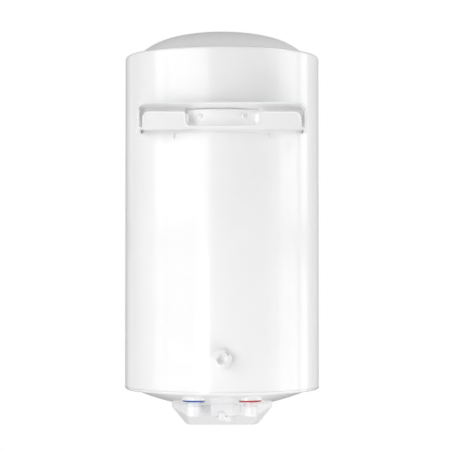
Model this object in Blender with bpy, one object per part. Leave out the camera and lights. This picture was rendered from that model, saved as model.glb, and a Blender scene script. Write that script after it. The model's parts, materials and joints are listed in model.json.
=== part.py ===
"""Wall-hung electric storage water heater, seen best from its wall side.

Everything is modelled about the tank's axis, in metres, with the bottom of the electrics cover
at height 0 and the wall on the +Y side. One empty then moves the whole heater so that the
origin lies on the bracket's centre strip, in the plane of the wall.
"""
from math import atan2, cos, hypot, pi, sin, sqrt

import bmesh
import bpy
from mathutils import Vector

# ---------------------------------------------------------------- driving dimensions (metres)
GAP = 0.0003               # clearance between pieces that touch
SIDES = 48                 # facets of the large round shells

WALL_Y = 0.2015            # wall plane, from the tank's axis
MOUNT_Z = 0.5232           # middle of the bracket's centre strip

JACKET_R = 0.1765
JACKET_SHEET = 0.0010
JACKET_BOTTOM = 0.0680
JACKET_SHOULDER = 0.6620   # where the top edge starts to roll in
RIM_TOP = 0.6675
RIM_INNER_R = 0.1585

TOP_EDGE_R = 0.1578        # outer edge of the domed top cap
TOP_PEAK = 0.7118
CAP_WALL = 0.0025

BASE_Z = 0.0286            # height of the bottom cap's dome on the axis
BASE_CURVE = 1.33          # its rise: z = BASE_Z + BASE_CURVE * r * r
BASE_EDGE_R = 0.1575
BASE_HOLE_R = 0.0520       # opening for the tank's flange

TANK_R = 0.1500
TANK_WALL = 0.0022
TANK_LOW = 0.1160          # bottom and top of the tank's straight wall
TANK_HIGH = 0.6000
TANK_DISH = 0.0300         # depth of each dished end
TANK_CROWN = (0, 0.070, 0.120)   # radii of the crown's rings
FOAM_TOP = 0.6550
FOAM_BOTTOM = 0.0820

PIPE_X = 0.0500            # 100 mm between the two connections
PIPE_Y = 0.1180
PIPE_R = 0.0105            # G 1/2 male thread, 21 mm over the crests
PIPE_BORE = 0.0078
PIPE_END = 0.0246
INLET_TOP = 0.1600
OUTLET_TOP = 0.5900
RING_R = 0.0190
RING_LOW = 0.0484
RING_HIGH = 0.0508
SEAT_R_DEEP = 0.0226        # radius of the ring's seat towards the tank's axis, and away from it
SEAT_R_EDGE = 0.0182
SEAT_RISE = 0.0065
THREAD_CAP_R = 0.01225
THREAD_CAP_LOW = 0.0228
THREAD_CAP_HIGH = 0.0399
THREAD_CAP_NECK_R = 0.0118   # sleeve that reaches on to the ring

BRACKET_HALF = 0.1456
BRACKET_TOP = 0.5673
BRACKET_SHEET = 0.0030
BRACKET_CORNER = 0.0140
BRACKET_DROP = 0.0070      # fall of the top flange from the wall to the web
WEB_BACK = 0.1730          # the web stands this far from the tank's axis
WEB_FRONT = 0.1760
WEB_INNER = 0.0630         # half-width of the window in the web
LEG_TIP = 0.5124
LEG_WIDTH = 0.0040
PLATE_HALF = 0.1363
PLATE_LOW = 0.5198
SHOULDER_TOP = 0.5512
SHOULDER_R = 0.0120        # outer corner of each shoulder
STEP_X = 0.0622            # upright edge between a shoulder and the notch
STEP_R = 0.0068
NOTCH_TOP = 0.5266
NOTCH_R = 0.0088
LIP_DEPTH = 0.0065         # bent-back lip along the plate's top edge
LIP_SHEET = 0.0020
LIP_LEAN = 0.0070          # how far the lip leans over the notch beside the upright edge

SADDLE_HALF = 0.0855
SADDLE_LOW = 0.5165
SADDLE_HIGH = 0.5565
SADDLE_FIN = 0.5081
SADDLE_R = 0.1771
SADDLE_SHEET = 0.0029
BRACKET_SCREW_X = 0.0374
BRACKET_SCREW_Z = 0.5449
BRACKET_SCREW_RUN = 0.0140

FOOT_Z = 0.1267
FOOT_R = 0.01125
FOOT_EAR_R = 0.0158
FOOT_EAR_HALF = 0.00515
FOOT_BACK = 0.1868         # back and front of the knob's body, from the tank's axis
FOOT_FRONT = 0.1995
FOOT_RECESS = 0.1895       # floor of the hole in the knob's face
FOOT_STEM_R = 0.0070
FOOT_PAD_BORE = 0.0094
BUSH_END = 0.1862         # the fixed bush stops just behind the knob's body

COVER_HALF = 0.0905
COVER_SLOPE_TOP = 0.0331   # side walls stand upright above this height
COVER_FOOT_HALF = 0.0656   # half-width at the floor
COVER_REAR = 0.0750
COVER_REAR_HALF = 0.0627
COVER_REAR_LOW = 0.0198
COVER_REAR_FOOT = 0.0350
COVER_CORNER_FOOT = 0.0575
COVER_WING_Y = 0.0330
COVER_FRONT = -0.1050
COVER_FRONT_HALF = 0.0500
COVER_FRONT_SIDE = -0.0600
COVER_WALL = 0.0025
DUCT_HALF = 0.0197         # cable duct at the back of the cover
DUCT_BACK = 0.1000
DUCT_FLANK_HALF = 0.0320
DUCT_FLANK_Y = 0.0800
DUCT_LOW = 0.0213
GROMMET_Y = 0.0870
GROMMET_HOLE_R = 0.0062
CLAMP_SHEET = 0.0015
CLAMP_SCREW_Z = 0.0242
CLAMP_SCREW_RUN = 0.0070

KNOB_Z = 0.0215
KNOB_R = 0.0155
KNOB_DEPTH = 0.0140
GRIP_HALF = 0.0034
SPINDLE_HOLE_R = 0.0045
LAMP_X = 0.0340
LAMP_HOLE_R = 0.0043
COVER_SCREW_X = 0.0550
COVER_SCREW_Y = -0.0300
COVER_SCREW_SEAT = 0.0250    # floor of the deep well that each cover screw sits in
COVER_SCREW_RUN = 0.0160     # length of its shank
WELL_R = 0.0056
WELL_WALL = 0.0020

FLANGE_R = 0.0600
FLANGE_RING_LOW = 0.0745   # underside of the tank's own flange ring
FLANGE_RING_HIGH = 0.0780
NECK_R = 0.0475
NECK_BORE = 0.0445
PLATE_BOTTOM = 0.0680      # flange plate
PLATE_TOP = 0.0715
BOLT_CIRCLE = 0.0545
BOLT_COUNT = 5
BOLT_R = 0.0030
ELEMENT_X = 0.0120
ELEMENT_Y = 0.0180
ELEMENT_R = 0.0042
ELEMENT_LOW = 0.0520
ELEMENT_TOP = 0.4200
ANODE_Y = -0.0220
POCKET_R = 0.0060
GASKET_R = 0.0500
ANODE_R = 0.0100
ANODE_STUD_R = 0.0040
ANODE_TOP = 0.3050
TERMINAL_PITCH = 0.0135
TERMINAL_Y = 0.0190
TERMINAL_HALF = 0.0070
LEAD_R = 0.0016
CAPILLARY_R = 0.0012

WHITE_STEEL = ((0.86, 0.86, 0.87), 0.22, 0.0)
WHITE_PLASTIC = ((0.84, 0.84, 0.85), 0.25, 0.0)
BLUE_PLASTIC = ((0.01, 0.05, 0.45), 0.35, 0.0)
RED_PLASTIC = ((0.45, 0.005, 0.008), 0.35, 0.0)
ENAMEL = ((0.05, 0.12, 0.16), 0.35, 0.0)
FOAM = ((0.85, 0.75, 0.45), 0.95, 0.0)
STEEL = ((0.55, 0.55, 0.57), 0.35, 1.0)
COPPER = ((0.72, 0.36, 0.22), 0.30, 1.0)
MAGNESIUM = ((0.60, 0.61, 0.62), 0.55, 1.0)
RUBBER = ((0.03, 0.03, 0.03), 0.80, 0.0)
LAMP_RED = ((0.75, 0.06, 0.02), 0.15, 0.0)
DARK_PLASTIC = ((0.06, 0.06, 0.065), 0.45, 0.0)


# ---------------------------------------------------------------- modelling helpers
def clear_scene():
    """Start from an empty scene."""
    for old in list(bpy.data.objects):
        bpy.data.objects.remove(old, do_unlink=True)


def finish_for(name, look):
    """A Principled material from (colour, roughness, metallic)."""
    colour, roughness, metallic = look
    material = bpy.data.materials.new(name)
    material.use_nodes = True
    shader = material.node_tree.nodes["Principled BSDF"]
    shader.inputs["Base Color"].default_value = (*colour, 1.0)
    shader.inputs["Roughness"].default_value = roughness
    shader.inputs["Metallic"].default_value = metallic
    return material


def place(name, data, look, at, turn, parent):
    """Link a new object, with its material, under the heater's empty or another parent."""
    obj = bpy.data.objects.new(name, data)
    bpy.context.collection.objects.link(obj)
    obj.parent = parent or bpy.data.objects["heater_frame"]
    obj.location = at
    obj.rotation_euler = turn
    if look:
        obj.data.materials.append(finish_for(name, look))
    return obj


def add(name, bm, look=None, at=(0, 0, 0), turn=(0, 0, 0), parent=None, crease=0.6):
    """Turn a bmesh into an object with outward faces, smooth except at sharp edges."""
    bmesh.ops.recalc_face_normals(bm, faces=bm.faces)
    mesh = bpy.data.meshes.new(name)
    bm.to_mesh(mesh)
    bm.free()
    mesh.shade_smooth()
    mesh.set_sharp_from_angle(angle=crease)
    return place(name, mesh, look, at, turn, parent)


def round_ring(radius, height, sides):
    """Points of one level ring; a radius of 0 gives a single pole."""
    angles = [2 * pi * i / sides for i in range(sides if radius else 1)]
    return [(radius * cos(a), radius * sin(a), height) for a in angles]


def skin(rings, sides):
    """Closed solid over rings of points; without poles the last ring joins the first."""
    bm = bmesh.new()
    rows = [[bm.verts.new(point) for point in ring] for ring in rings]
    pairs = list(zip(rows, rows[1:]))
    if len(rows[0]) > 1:
        pairs.append((rows[-1], rows[0]))
    for low, high in pairs:
        for i in range(sides):
            j = (i + 1) % sides
            corners = [low[i % len(low)], low[j % len(low)], high[j % len(high)], high[i % len(high)]]
            bm.faces.new(list(dict.fromkeys(corners)))
    return bm


def lathe(profile, sides=SIDES):
    """Solid of revolution about Z from (radius, height) points; a radius of 0 makes a pole."""
    return skin([round_ring(radius, height, sides) for radius, height in profile], sides)


def rod(radius, low, high, sides=12):
    """Round bar along Z."""
    return lathe([(0, low), (radius, low), (radius, high), (0, high)], sides)


def loft(loops):
    """Closed solid through loops of 3-D points that have equal counts."""
    bm = bmesh.new()
    rings = [[bm.verts.new(point) for point in loop] for loop in loops]
    count = len(rings[0])
    for low, high in zip(rings, rings[1:]):
        for i in range(count):
            j = (i + 1) % count
            bm.faces.new((low[i], low[j], high[j], high[i]))
    bm.faces.new(rings[0])
    bm.faces.new(rings[-1])
    return bm


def prism(outline, low, high, along="Z"):
    """Extrude a flat outline: in XY along Z, or in XZ along Y."""
    if along == "Z":
        return loft([[(u, v, w) for u, v in outline] for w in (low, high)])
    return loft([[(u, w, v) for u, v in outline] for w in (low, high)])


def box(low, high):
    """Axis-aligned block between two corners."""
    outline = [(low[0], low[1]), (high[0], low[1]), (high[0], high[1]), (low[0], high[1])]
    return prism(outline, low[2], high[2])


def arc(centre, radius, start, end, steps):
    """Points of an arc, angles in radians, both ends included."""
    angles = [start + (end - start) * i / steps for i in range(steps + 1)]
    return [(centre[0] + radius * cos(a), centre[1] + radius * sin(a)) for a in angles]


def merged(parts):
    """One bmesh that holds several separate solids, for a cutter."""
    whole = bmesh.new()
    for bm in parts:
        scratch = bpy.data.meshes.new("scratch")
        bm.to_mesh(scratch)
        bm.free()
        whole.from_mesh(scratch)
        bpy.data.meshes.remove(scratch)
    return whole


def shifted(bm, offset):
    """Move a bmesh's points."""
    bmesh.ops.translate(bm, verts=bm.verts, vec=Vector(offset))
    return bm


def tool(obj):
    """Mark an object as a guide that only shapes others."""
    obj.hide_render = True
    obj.display_type = "WIRE"
    return obj


def combine(target, other, operation):
    """Boolean another object into the target; the other one becomes a guide."""
    modifier = target.modifiers.new(operation.lower() + "_" + other.name, "BOOLEAN")
    modifier.operation = operation
    modifier.solver = "EXACT"
    modifier.object = tool(other)


def join(target, other):
    combine(target, other, "UNION")


def cut(target, other):
    combine(target, other, "DIFFERENCE")


def mirrored(outline):
    """Close a half outline, given from its left end to its right end at X > 0, across X = 0."""
    return outline + [(-x, z) for x, z in reversed(outline)]


def base_height(radius):
    """Underside of the bottom cap's dome."""
    return BASE_Z + BASE_CURVE * radius * radius


# ---------------------------------------------------------------- casing
def make_jacket():
    radius = RIM_TOP - JACKET_SHOULDER
    outer = arc((JACKET_R - radius, JACKET_SHOULDER), radius, 0, pi / 2, 3)
    inner = arc((JACKET_R - radius, JACKET_SHOULDER), radius - JACKET_SHEET, pi / 2, 0, 2)
    profile = [(JACKET_R, JACKET_BOTTOM)] + outer
    profile += [(RIM_INNER_R, RIM_TOP), (RIM_INNER_R, RIM_TOP - JACKET_SHEET)] + inner
    profile += [(JACKET_R - JACKET_SHEET, JACKET_BOTTOM)]
    return add("outer_jacket", lathe(profile), WHITE_STEEL)


def dome_height(radius):
    """Top of the domed cap: a flat crown that turns down quickly near its edge."""
    return TOP_PEAK - 1.1 * radius ** 2 - 1310 * radius ** 6


def make_top_cap():
    skirt_low = RIM_TOP - 0.008
    profile = [(r, dome_height(r)) for r in (0, 0.055, 0.090, 0.115, 0.135, 0.149, TOP_EDGE_R)]
    profile += [(TOP_EDGE_R, skirt_low), (TOP_EDGE_R - CAP_WALL, skirt_low)]
    profile += [(r, dome_height(r) - CAP_WALL) for r in (0.149, 0.125, 0.080, 0)]
    return add("top_cap", lathe(profile), WHITE_PLASTIC)


def ring_seat(x):
    """Level seat over a pipe's ring: a boss under the cap's steep edge, a cup inside its deep part."""
    sides = 24
    wall = 0.0018
    seat = RING_HIGH + GAP
    top = seat + SEAT_RISE
    bore = PIPE_R + 0.0008
    centre = hypot(PIPE_X, PIPE_Y)
    rows = [[], [], [], []]
    for px, py, _ in round_ring(1, 0, sides):
        inward = 0.5 - 0.5 * (px * x + py * PIPE_Y) / centre
        outer = SEAT_R_EDGE + (SEAT_R_DEEP - SEAT_R_EDGE) * min(1, inward / 0.4)
        for row, radius in ((0, outer - wall), (1, outer)):
            spot = (x + px * radius, PIPE_Y + py * radius)
            rows[row].append((*spot, min(base_height(hypot(*spot)) + 0.0010, seat - 0.0001)))
            rows[2 + row].append((*spot, top if row else seat))
    inside = [[(x + px * bore, PIPE_Y + py * bore, z) for px, py, _ in round_ring(1, 0, sides)]
              for z in (top, seat)]
    return skin([rows[0], rows[1], rows[3]] + inside + [rows[2]], sides)


def posts(radius, low, high, spots, sides=12):
    """Several upright cylinders in one mesh."""
    outline = [(x, y) for x, y, z in round_ring(radius, 0, sides)]
    return merged([shifted(prism(outline, low, high), (x, y, 0)) for x, y in spots])


def cover_screw_spots():
    return [(COVER_SCREW_X, COVER_SCREW_Y), (-COVER_SCREW_X, COVER_SCREW_Y)]


def make_bottom_cap():
    """Domed bottom cap with a raised rim, a groove, ring seats and two screw bosses."""
    rim = JACKET_BOTTOM - GAP
    skirt_r = JACKET_R - JACKET_SHEET - 0.0007
    radii = [BASE_EDGE_R, 0.125, 0.088, BASE_HOLE_R]
    profile = [(JACKET_R, rim), (JACKET_R, 0.0655), (0.1752, 0.0638), (0.1720, 0.0629), (0.1660, 0.0629)]
    profile += [(0.1652, 0.0645), (0.1592, 0.0648)]
    profile += [(r, base_height(r)) for r in radii]
    profile += [(r, base_height(r) + CAP_WALL) for r in reversed(radii)]
    profile += [(0.1600, 0.0670), (0.1725, 0.0670), (0.1725, 0.0800), (skirt_r, 0.0800), (skirt_r, rim)]
    cap = add("bottom_cap", lathe(profile), WHITE_PLASTIC)
    pipes = [(PIPE_X, PIPE_Y), (-PIPE_X, PIPE_Y)]
    cut(cap, add("pipe_openings", posts(RING_R + 0.0016, 0.030, RING_HIGH + 2 * GAP, pipes, 24)))
    join(cap, add("ring_seats", merged([ring_seat(x) for x, y in pipes])))
    cut(cap, add("pipe_passages", posts(PIPE_R + 0.0008, 0.045, 0.070, pipes, 24)))
    base = base_height(hypot(COVER_SCREW_X, COVER_SCREW_Y))
    join(cap, add("cover_screw_bosses", posts(0.0042, base + 0.0012, base + 0.0090, cover_screw_spots(), 10)))
    cut(cap, add("cover_screw_holes", posts(0.0020, base - 0.0060, base + 0.0120, cover_screw_spots(), 8)))
    return cap


def make_foam():
    """Foamed insulation between the tank and the jacket: a bell open at the bottom."""
    outer_r = JACKET_R - JACKET_SHEET - GAP
    inner_r = TANK_R + 0.0012
    crown = [(r, tank_top(r) + 0.0012) for r in (inner_r, *reversed(TANK_CROWN))]
    profile = [(0, FOAM_TOP), (outer_r, FOAM_TOP), (outer_r, FOAM_BOTTOM), (inner_r, FOAM_BOTTOM)]
    return add("insulation_foam", lathe(profile + crown), FOAM)


# ---------------------------------------------------------------- wall bracket
def make_bracket():
    """Pressed arch with a web, two fingers and a stepped plate that hangs on the wall hooks."""
    bracket = add("wall_bracket", bracket_arch(), WHITE_STEEL, crease=0.4)
    webs = []
    for side in (1, -1):
        inner, outer = side * WEB_INNER, side * (BRACKET_HALF - 0.001)
        webs.append(box((min(inner, outer), WEB_BACK, PLATE_LOW + 0.0005),
                        (max(inner, outer), WEB_FRONT - 0.0001, BRACKET_TOP - 0.0085)))
    join(bracket, add("bracket_webs", merged(webs)))
    join(bracket, add("bracket_side_walls", merged([side_wall(1), side_wall(-1)])))
    join(bracket, add("bracket_fingers", merged([finger(1), finger(-1)])))
    join(bracket, add("bracket_plate", prism(plate_outline(), WALL_Y - BRACKET_SHEET, WALL_Y, "Y")))
    join(bracket, add("bracket_plate_lip", plate_lip()))
    clear = JACKET_R + 0.0005
    cut(bracket, add("jacket_space", lathe([(0, 0.40), (clear, 0.40), (clear, 0.62), (0, 0.62)])))
    return bracket


def arch_outline(top, inset):
    """Half outline of the arch's outer or inner face in XZ, from the foot of the leg inwards."""
    half = BRACKET_HALF - inset
    corner = BRACKET_CORNER - inset
    curve = arc((half - corner, top - inset - corner), corner, 0, pi / 2, 4)
    return [(half, PLATE_LOW)] + curve


def bracket_arch():
    """Top flange and legs; the flange falls towards the heater."""
    loops = []
    for y, top in ((WEB_BACK, BRACKET_TOP - BRACKET_DROP), (WALL_Y - 0.0001, BRACKET_TOP)):
        outer = arch_outline(top, 0)
        inner = arch_outline(top, BRACKET_SHEET)
        loop = mirrored(outer) + list(reversed(mirrored(inner)))
        loops.append([(x, y, z) for x, z in loop])
    return loft(loops)


def side_wall(side):
    """Upright cheek that runs back from the web until it meets the jacket."""
    x_out = side * (BRACKET_HALF - 0.0002)
    x_in = side * (BRACKET_HALF - BRACKET_SHEET)
    back = sqrt(JACKET_R ** 2 - BRACKET_HALF ** 2) - 0.004
    low, high = PLATE_LOW + 0.0002, BRACKET_TOP - BRACKET_CORNER - BRACKET_DROP
    return box((min(x_in, x_out), back, low), (max(x_in, x_out), WALL_Y - 0.001, high))


def finger(side):
    """Front strip of a leg, with a rounded tip and a bridge to the plate."""
    half = LEG_WIDTH / 2
    centre = BRACKET_HALF - half
    tip = arc((centre, LEG_TIP + half), half, pi, 2 * pi, 6)
    top = BRACKET_TOP - BRACKET_CORNER
    bridge = [(PLATE_HALF - 0.0005, PLATE_LOW + 0.0037), (PLATE_HALF - 0.0005, PLATE_LOW + 0.0001)]
    outline = [(centre + half, top), (centre - half, top), (centre - half, PLATE_LOW + 0.0037)]
    outline += bridge + [(centre - half, PLATE_LOW + 0.0001)] + tip[1:]
    outline = [(side * x, z) for x, z in outline]
    return prism(outline, WALL_Y - BRACKET_SHEET + 0.0002, WALL_Y, "Y")


def shoulder_line(inset):
    """Top edge of the stepped plate at X > 0: outer corner, shoulder, upright step, notch."""
    line = arc((PLATE_HALF - SHOULDER_R, SHOULDER_TOP - SHOULDER_R), SHOULDER_R - inset, 0, pi / 2, 4)
    line += arc((STEP_X + STEP_R, SHOULDER_TOP - STEP_R), STEP_R - inset, pi / 2, pi, 3)
    line += arc((STEP_X - NOTCH_R, NOTCH_TOP + NOTCH_R), NOTCH_R + inset, 0, -pi / 2, 4)
    return line


def plate_outline():
    return mirrored([(PLATE_HALF, PLATE_LOW)] + shoulder_line(0))


def lip_line(inset, lean):
    """The plate's edge at X > 0; the step between shoulder and notch leans inwards."""
    middle = (SHOULDER_TOP + NOTCH_TOP) / 2
    reach = (SHOULDER_TOP - NOTCH_TOP) / 2
    line = [(PLATE_HALF - inset, PLATE_LOW + 0.015)]
    for x, z in shoulder_line(inset):
        share = max(0, 1 - ((z - middle) / reach) ** 2) if x < PLATE_HALF / 2 else 0
        line.append((x - lean * share, z))
    return line


def plate_lip():
    """Strip along the plate's top edge, bent back towards the heater."""
    loops = []
    for y, lean in ((WALL_Y - 0.0010, 0), (WALL_Y - LIP_DEPTH, LIP_LEAN)):
        outline = mirrored(lip_line(0.0001, lean)) + list(reversed(mirrored(lip_line(LIP_SHEET, lean))))
        loops.append([(x, y, z) for x, z in outline])
    return loft(loops)


def radial_turn(x):
    """Turn that points a piece's +Z straight out of the jacket at this X."""
    return (-pi / 2, 0, -atan2(x, sqrt(JACKET_R ** 2 - x * x)))


def strap(half, radius, sheet, low, high, start=None):
    """Curved strip that hugs the jacket between two X positions."""
    ends = [atan2(x, sqrt(radius ** 2 - x * x)) for x in (-half if start is None else start, half)]
    steps = max(2, round(abs(ends[1] - ends[0]) / 0.06))
    turns = [pi / 2 - (ends[0] + (ends[1] - ends[0]) * i / steps) for i in range(steps + 1)]
    outline = [(radius * cos(a), radius * sin(a)) for a in turns]
    outline += [((radius + sheet) * cos(a), (radius + sheet) * sin(a)) for a in reversed(turns)]
    return prism(outline, low, high)


def make_saddle():
    """Curved strap screwed to the jacket, with a short fin at each end."""
    saddle = add("bracket_saddle", strap(SADDLE_HALF, SADDLE_R, SADDLE_SHEET, SADDLE_LOW, SADDLE_HIGH),
                 WHITE_STEEL)
    fins = [strap(side * SADDLE_HALF, SADDLE_R + 0.0001, SADDLE_SHEET - 0.0002, SADDLE_FIN,
                  SADDLE_LOW + 0.003, side * (SADDLE_HALF - 0.0028)) for side in (1, -1)]
    join(saddle, add("saddle_fins", merged(fins)))
    return saddle


def cross_recess(name, parent, top, reach, width, depth):
    """Cross-shaped driver recess in a screw head."""
    arm, w = reach, width / 2
    outline = [(arm, -w), (arm, w), (w, w), (w, arm), (-w, arm), (-w, w)]
    outline += [(-arm, w), (-arm, -w), (-w, -w), (-w, -arm), (w, -arm), (w, -w)]
    cut(parent, add(name, prism(outline, top - depth, top + 0.002), parent=parent))


def make_screw(name, at, turn, head_r, head, shank_r, length):
    """Pan-head screw: its origin is under the head and +Z leaves through the head."""
    profile = [(0, -length), (shank_r, -length), (shank_r, 0), (head_r, 0), (head_r, head * 0.45)]
    profile += [(head_r * 0.8, head * 0.85), (head_r * 0.5, head), (0, head)]
    screw = add(name, lathe(profile, 12), STEEL, at, turn)
    cross_recess(name + "_recess", screw, head, head_r * 0.52, head_r * 0.24, head * 0.5)
    return screw


def make_bracket_screws(pierced):
    """Two screws through the saddle and jacket; their bores are cut in the pierced pieces."""
    seat = SADDLE_R + SADDLE_SHEET + GAP
    for name, x in (("bracket_screw_left", -BRACKET_SCREW_X), ("bracket_screw_right", BRACKET_SCREW_X)):
        turn = radial_turn(x)
        spot = (x * seat / JACKET_R, sqrt(1 - (x / JACKET_R) ** 2) * seat, BRACKET_SCREW_Z)
        make_screw(name, spot, turn, 0.0044, 0.0026, 0.0020, BRACKET_SCREW_RUN)
        bore = add(name + "_bore", rod(0.0024, -BRACKET_SCREW_RUN - 0.002, 0.002), at=spot, turn=turn)
        for piece in pierced:
            cut(piece, bore)


# ---------------------------------------------------------------- wall stand-off foot
def make_foot():
    """Screw-in stand-off: fixed bush, eared knob on a stem, and a soft pad against the wall."""
    turn = (-pi / 2, 0, 0)
    at = (0, 0, FOOT_Z)
    start = JACKET_R + 0.0007
    bore = FOOT_STEM_R + GAP
    base = [(bore, start), (0.0170, start), (0.0170, start + 0.0014), (0.0155, start + 0.0024)]
    base += [(0.0100, start + 0.0026), (0.0098, BUSH_END), (bore, BUSH_END)]
    add("foot_base", lathe(base, 24), WHITE_PLASTIC, at, turn)
    body = [(0, start + 0.0005), (FOOT_STEM_R, start + 0.0005), (FOOT_STEM_R, FOOT_BACK), (FOOT_R, FOOT_BACK)]
    body += [(FOOT_R, FOOT_FRONT), (0, FOOT_FRONT)]
    knob = add("foot_knob", lathe(body, 24), WHITE_PLASTIC, at, turn)
    reach, half = FOOT_EAR_R, FOOT_EAR_HALF
    ears = [(reach, -half), (reach, half), (half, half), (half, reach), (-half, reach), (-half, half)]
    ears += [(-reach, half), (-reach, -half), (-half, -half), (-half, -reach), (half, -reach), (half, -half)]
    join(knob, add("foot_ears", prism(ears, FOOT_BACK + 0.0012, FOOT_FRONT - 0.0010), parent=knob))
    recess = [(0, FOOT_RECESS), (0.00425, FOOT_RECESS), (0.00425, 0.1930), (0.0060, 0.1930)]
    recess += [(FOOT_PAD_BORE, 0.2010)]
    cut(knob, add("foot_recess", lathe(recess + [(0, 0.2010)], 24), parent=knob))
    low = FOOT_FRONT + GAP
    edge = 0.0004
    pad = [(FOOT_PAD_BORE, low), (FOOT_R, low), (FOOT_R, WALL_Y - edge), (FOOT_R - edge, WALL_Y)]
    pad += [(FOOT_PAD_BORE, WALL_Y)]
    add("foot_pad", lathe(pad, 24), WHITE_PLASTIC, at, turn)


# ---------------------------------------------------------------- water connections
def make_connection(label, x, top, colour):
    """Threaded pipe with its coloured ring and its push-on thread cap."""
    at = (x, PIPE_Y, 0)
    pipe = [(PIPE_BORE, PIPE_END), (PIPE_R - 0.0006, PIPE_END), (PIPE_R, PIPE_END + 0.0008), (PIPE_R, top)]
    add(label + "_pipe", lathe(pipe + [(PIPE_BORE, top)], 20), STEEL, at)
    hole = PIPE_R + GAP
    ring = [(hole, RING_LOW), (RING_R - 0.0012, RING_LOW), (RING_R, RING_LOW + 0.0012)]
    ring += [(RING_R, RING_HIGH), (hole, RING_HIGH)]
    add(label + "_ring", lathe(ring, 24), colour, at)
    edge = 0.0008
    flange = THREAD_CAP_R + 0.0007
    neck_top = RING_LOW - GAP
    cap = [(0, THREAD_CAP_LOW), (THREAD_CAP_R - edge, THREAD_CAP_LOW), (THREAD_CAP_R, THREAD_CAP_LOW + edge)]
    cap += [(THREAD_CAP_R, THREAD_CAP_HIGH - 0.0014), (flange, THREAD_CAP_HIGH - 0.0012)]
    cap += [(flange, THREAD_CAP_HIGH), (THREAD_CAP_NECK_R, THREAD_CAP_HIGH), (THREAD_CAP_NECK_R, neck_top)]
    cap += [(hole, neck_top), (hole, PIPE_END - GAP), (0, PIPE_END - GAP)]
    add(label + "_thread_cap", lathe(cap, 20), WHITE_PLASTIC, at)


def make_inlet_baffle():
    """Cup with side slots that turns the incoming cold water sideways."""
    low = INLET_TOP - 0.012
    high = INLET_TOP + 0.012
    inner = PIPE_R + GAP
    outer = inner + 0.0018
    profile = [(0, high + 0.004), (outer, high), (outer, low)]
    profile += [(inner, low), (inner, high - 0.002), (0, high)]
    baffle = add("inlet_baffle", lathe(profile, 16), WHITE_PLASTIC, (PIPE_X, PIPE_Y, 0))
    slots = box((-0.020, -0.003, INLET_TOP + 0.002), (0.020, 0.003, INLET_TOP + 0.008))
    cut(baffle, add("baffle_slots", slots, parent=baffle))


# ---------------------------------------------------------------- tank and flange
def tank_top(radius):
    return TANK_HIGH + TANK_DISH * (1 - (min(radius, TANK_R) / TANK_R) ** 2)


def tank_bottom(radius):
    return TANK_LOW - TANK_DISH * (1 - (radius / TANK_R) ** 2)


def make_tank():
    """Enamelled steel tank with dished ends and a flanged neck at the bottom."""
    dish = [0.120, NECK_R]
    inner_r = TANK_R - TANK_WALL
    profile = [(r, tank_top(r)) for r in TANK_CROWN] + [(TANK_R, TANK_HIGH), (TANK_R, TANK_LOW)]
    profile += [(r, tank_bottom(r)) for r in dish]
    profile += [(NECK_R, FLANGE_RING_HIGH), (FLANGE_R, FLANGE_RING_HIGH), (FLANGE_R, FLANGE_RING_LOW)]
    profile += [(NECK_BORE, FLANGE_RING_LOW), (NECK_BORE, tank_bottom(NECK_BORE) + TANK_WALL)]
    profile += [(r, tank_bottom(r) + TANK_WALL) for r in dish[:1]]
    profile += [(inner_r, TANK_LOW), (inner_r, TANK_HIGH)]
    profile += [(r, tank_top(r) - TANK_WALL) for r in reversed(TANK_CROWN)]
    tank = add("inner_tank", lathe(profile, 32), ENAMEL)
    pipes = [(PIPE_X, PIPE_Y), (-PIPE_X, PIPE_Y)]
    cut(tank, add("tank_ports", posts(PIPE_R + GAP, 0.080, 0.140, pipes, 20)))
    cut(tank, bolt_bores("tank_bolt_bores", 0.072, 0.080))
    return tank


def bolt_spots():
    turns = [pi / 2 + 2 * pi * i / BOLT_COUNT for i in range(BOLT_COUNT)]
    return [(BOLT_CIRCLE * cos(a), BOLT_CIRCLE * sin(a)) for a in turns]


def bolt_bores(name, low, high):
    return add(name, posts(BOLT_R + 0.0005, low, high, bolt_spots(), 8))


def make_flange():
    """Flange plate with its gasket and bolts."""
    low = PLATE_TOP + GAP
    high = FLANGE_RING_LOW - GAP
    gasket = [(NECK_BORE, low), (GASKET_R, low), (GASKET_R, high), (NECK_BORE, high)]
    add("flange_gasket", lathe(gasket, 24), RUBBER)
    plate = add("flange_plate", posts(FLANGE_R, PLATE_BOTTOM, PLATE_TOP, [(0, 0)], 32), STEEL)
    cut(plate, bolt_bores("plate_bolt_bores", 0.065, 0.074))
    passages = [(ELEMENT_X, ELEMENT_Y, ELEMENT_R), (-ELEMENT_X, ELEMENT_Y, ELEMENT_R)]
    passages += [(0, ANODE_Y, ANODE_STUD_R), (0, 0, POCKET_R)]
    bores = []
    for x, y, radius in passages:
        bores.append(posts(radius + 0.0005, 0.065, 0.074, [(x, y)], 10))
    cut(plate, add("plate_passages", merged(bores)))
    head = PLATE_BOTTOM - GAP
    for i, (x, y) in enumerate(bolt_spots()):
        profile = [(0, head - 0.004), (0.0055, head - 0.004), (0.0055, head), (BOLT_R, head)]
        profile += [(BOLT_R, FLANGE_RING_HIGH + 0.0015), (0, FLANGE_RING_HIGH + 0.0015)]
        add("flange_bolt_" + str(i + 1), lathe(profile, 6), STEEL, (x, y, 0))


def tube(name, points, radius, look, resolution=2):
    """Round bar along a smooth run of points."""
    curve = bpy.data.curves.new(name, "CURVE")
    curve.dimensions = "3D"
    spline = curve.splines.new("POLY")
    spline.points.add(len(points) - 1)
    for target, point in zip(spline.points, points):
        target.co = (*point, 1)
    curve.bevel_depth = radius
    curve.bevel_resolution = resolution
    curve.use_fill_caps = True
    return place(name, curve, look, (0, 0, 0), (0, 0, 0), None)


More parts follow.
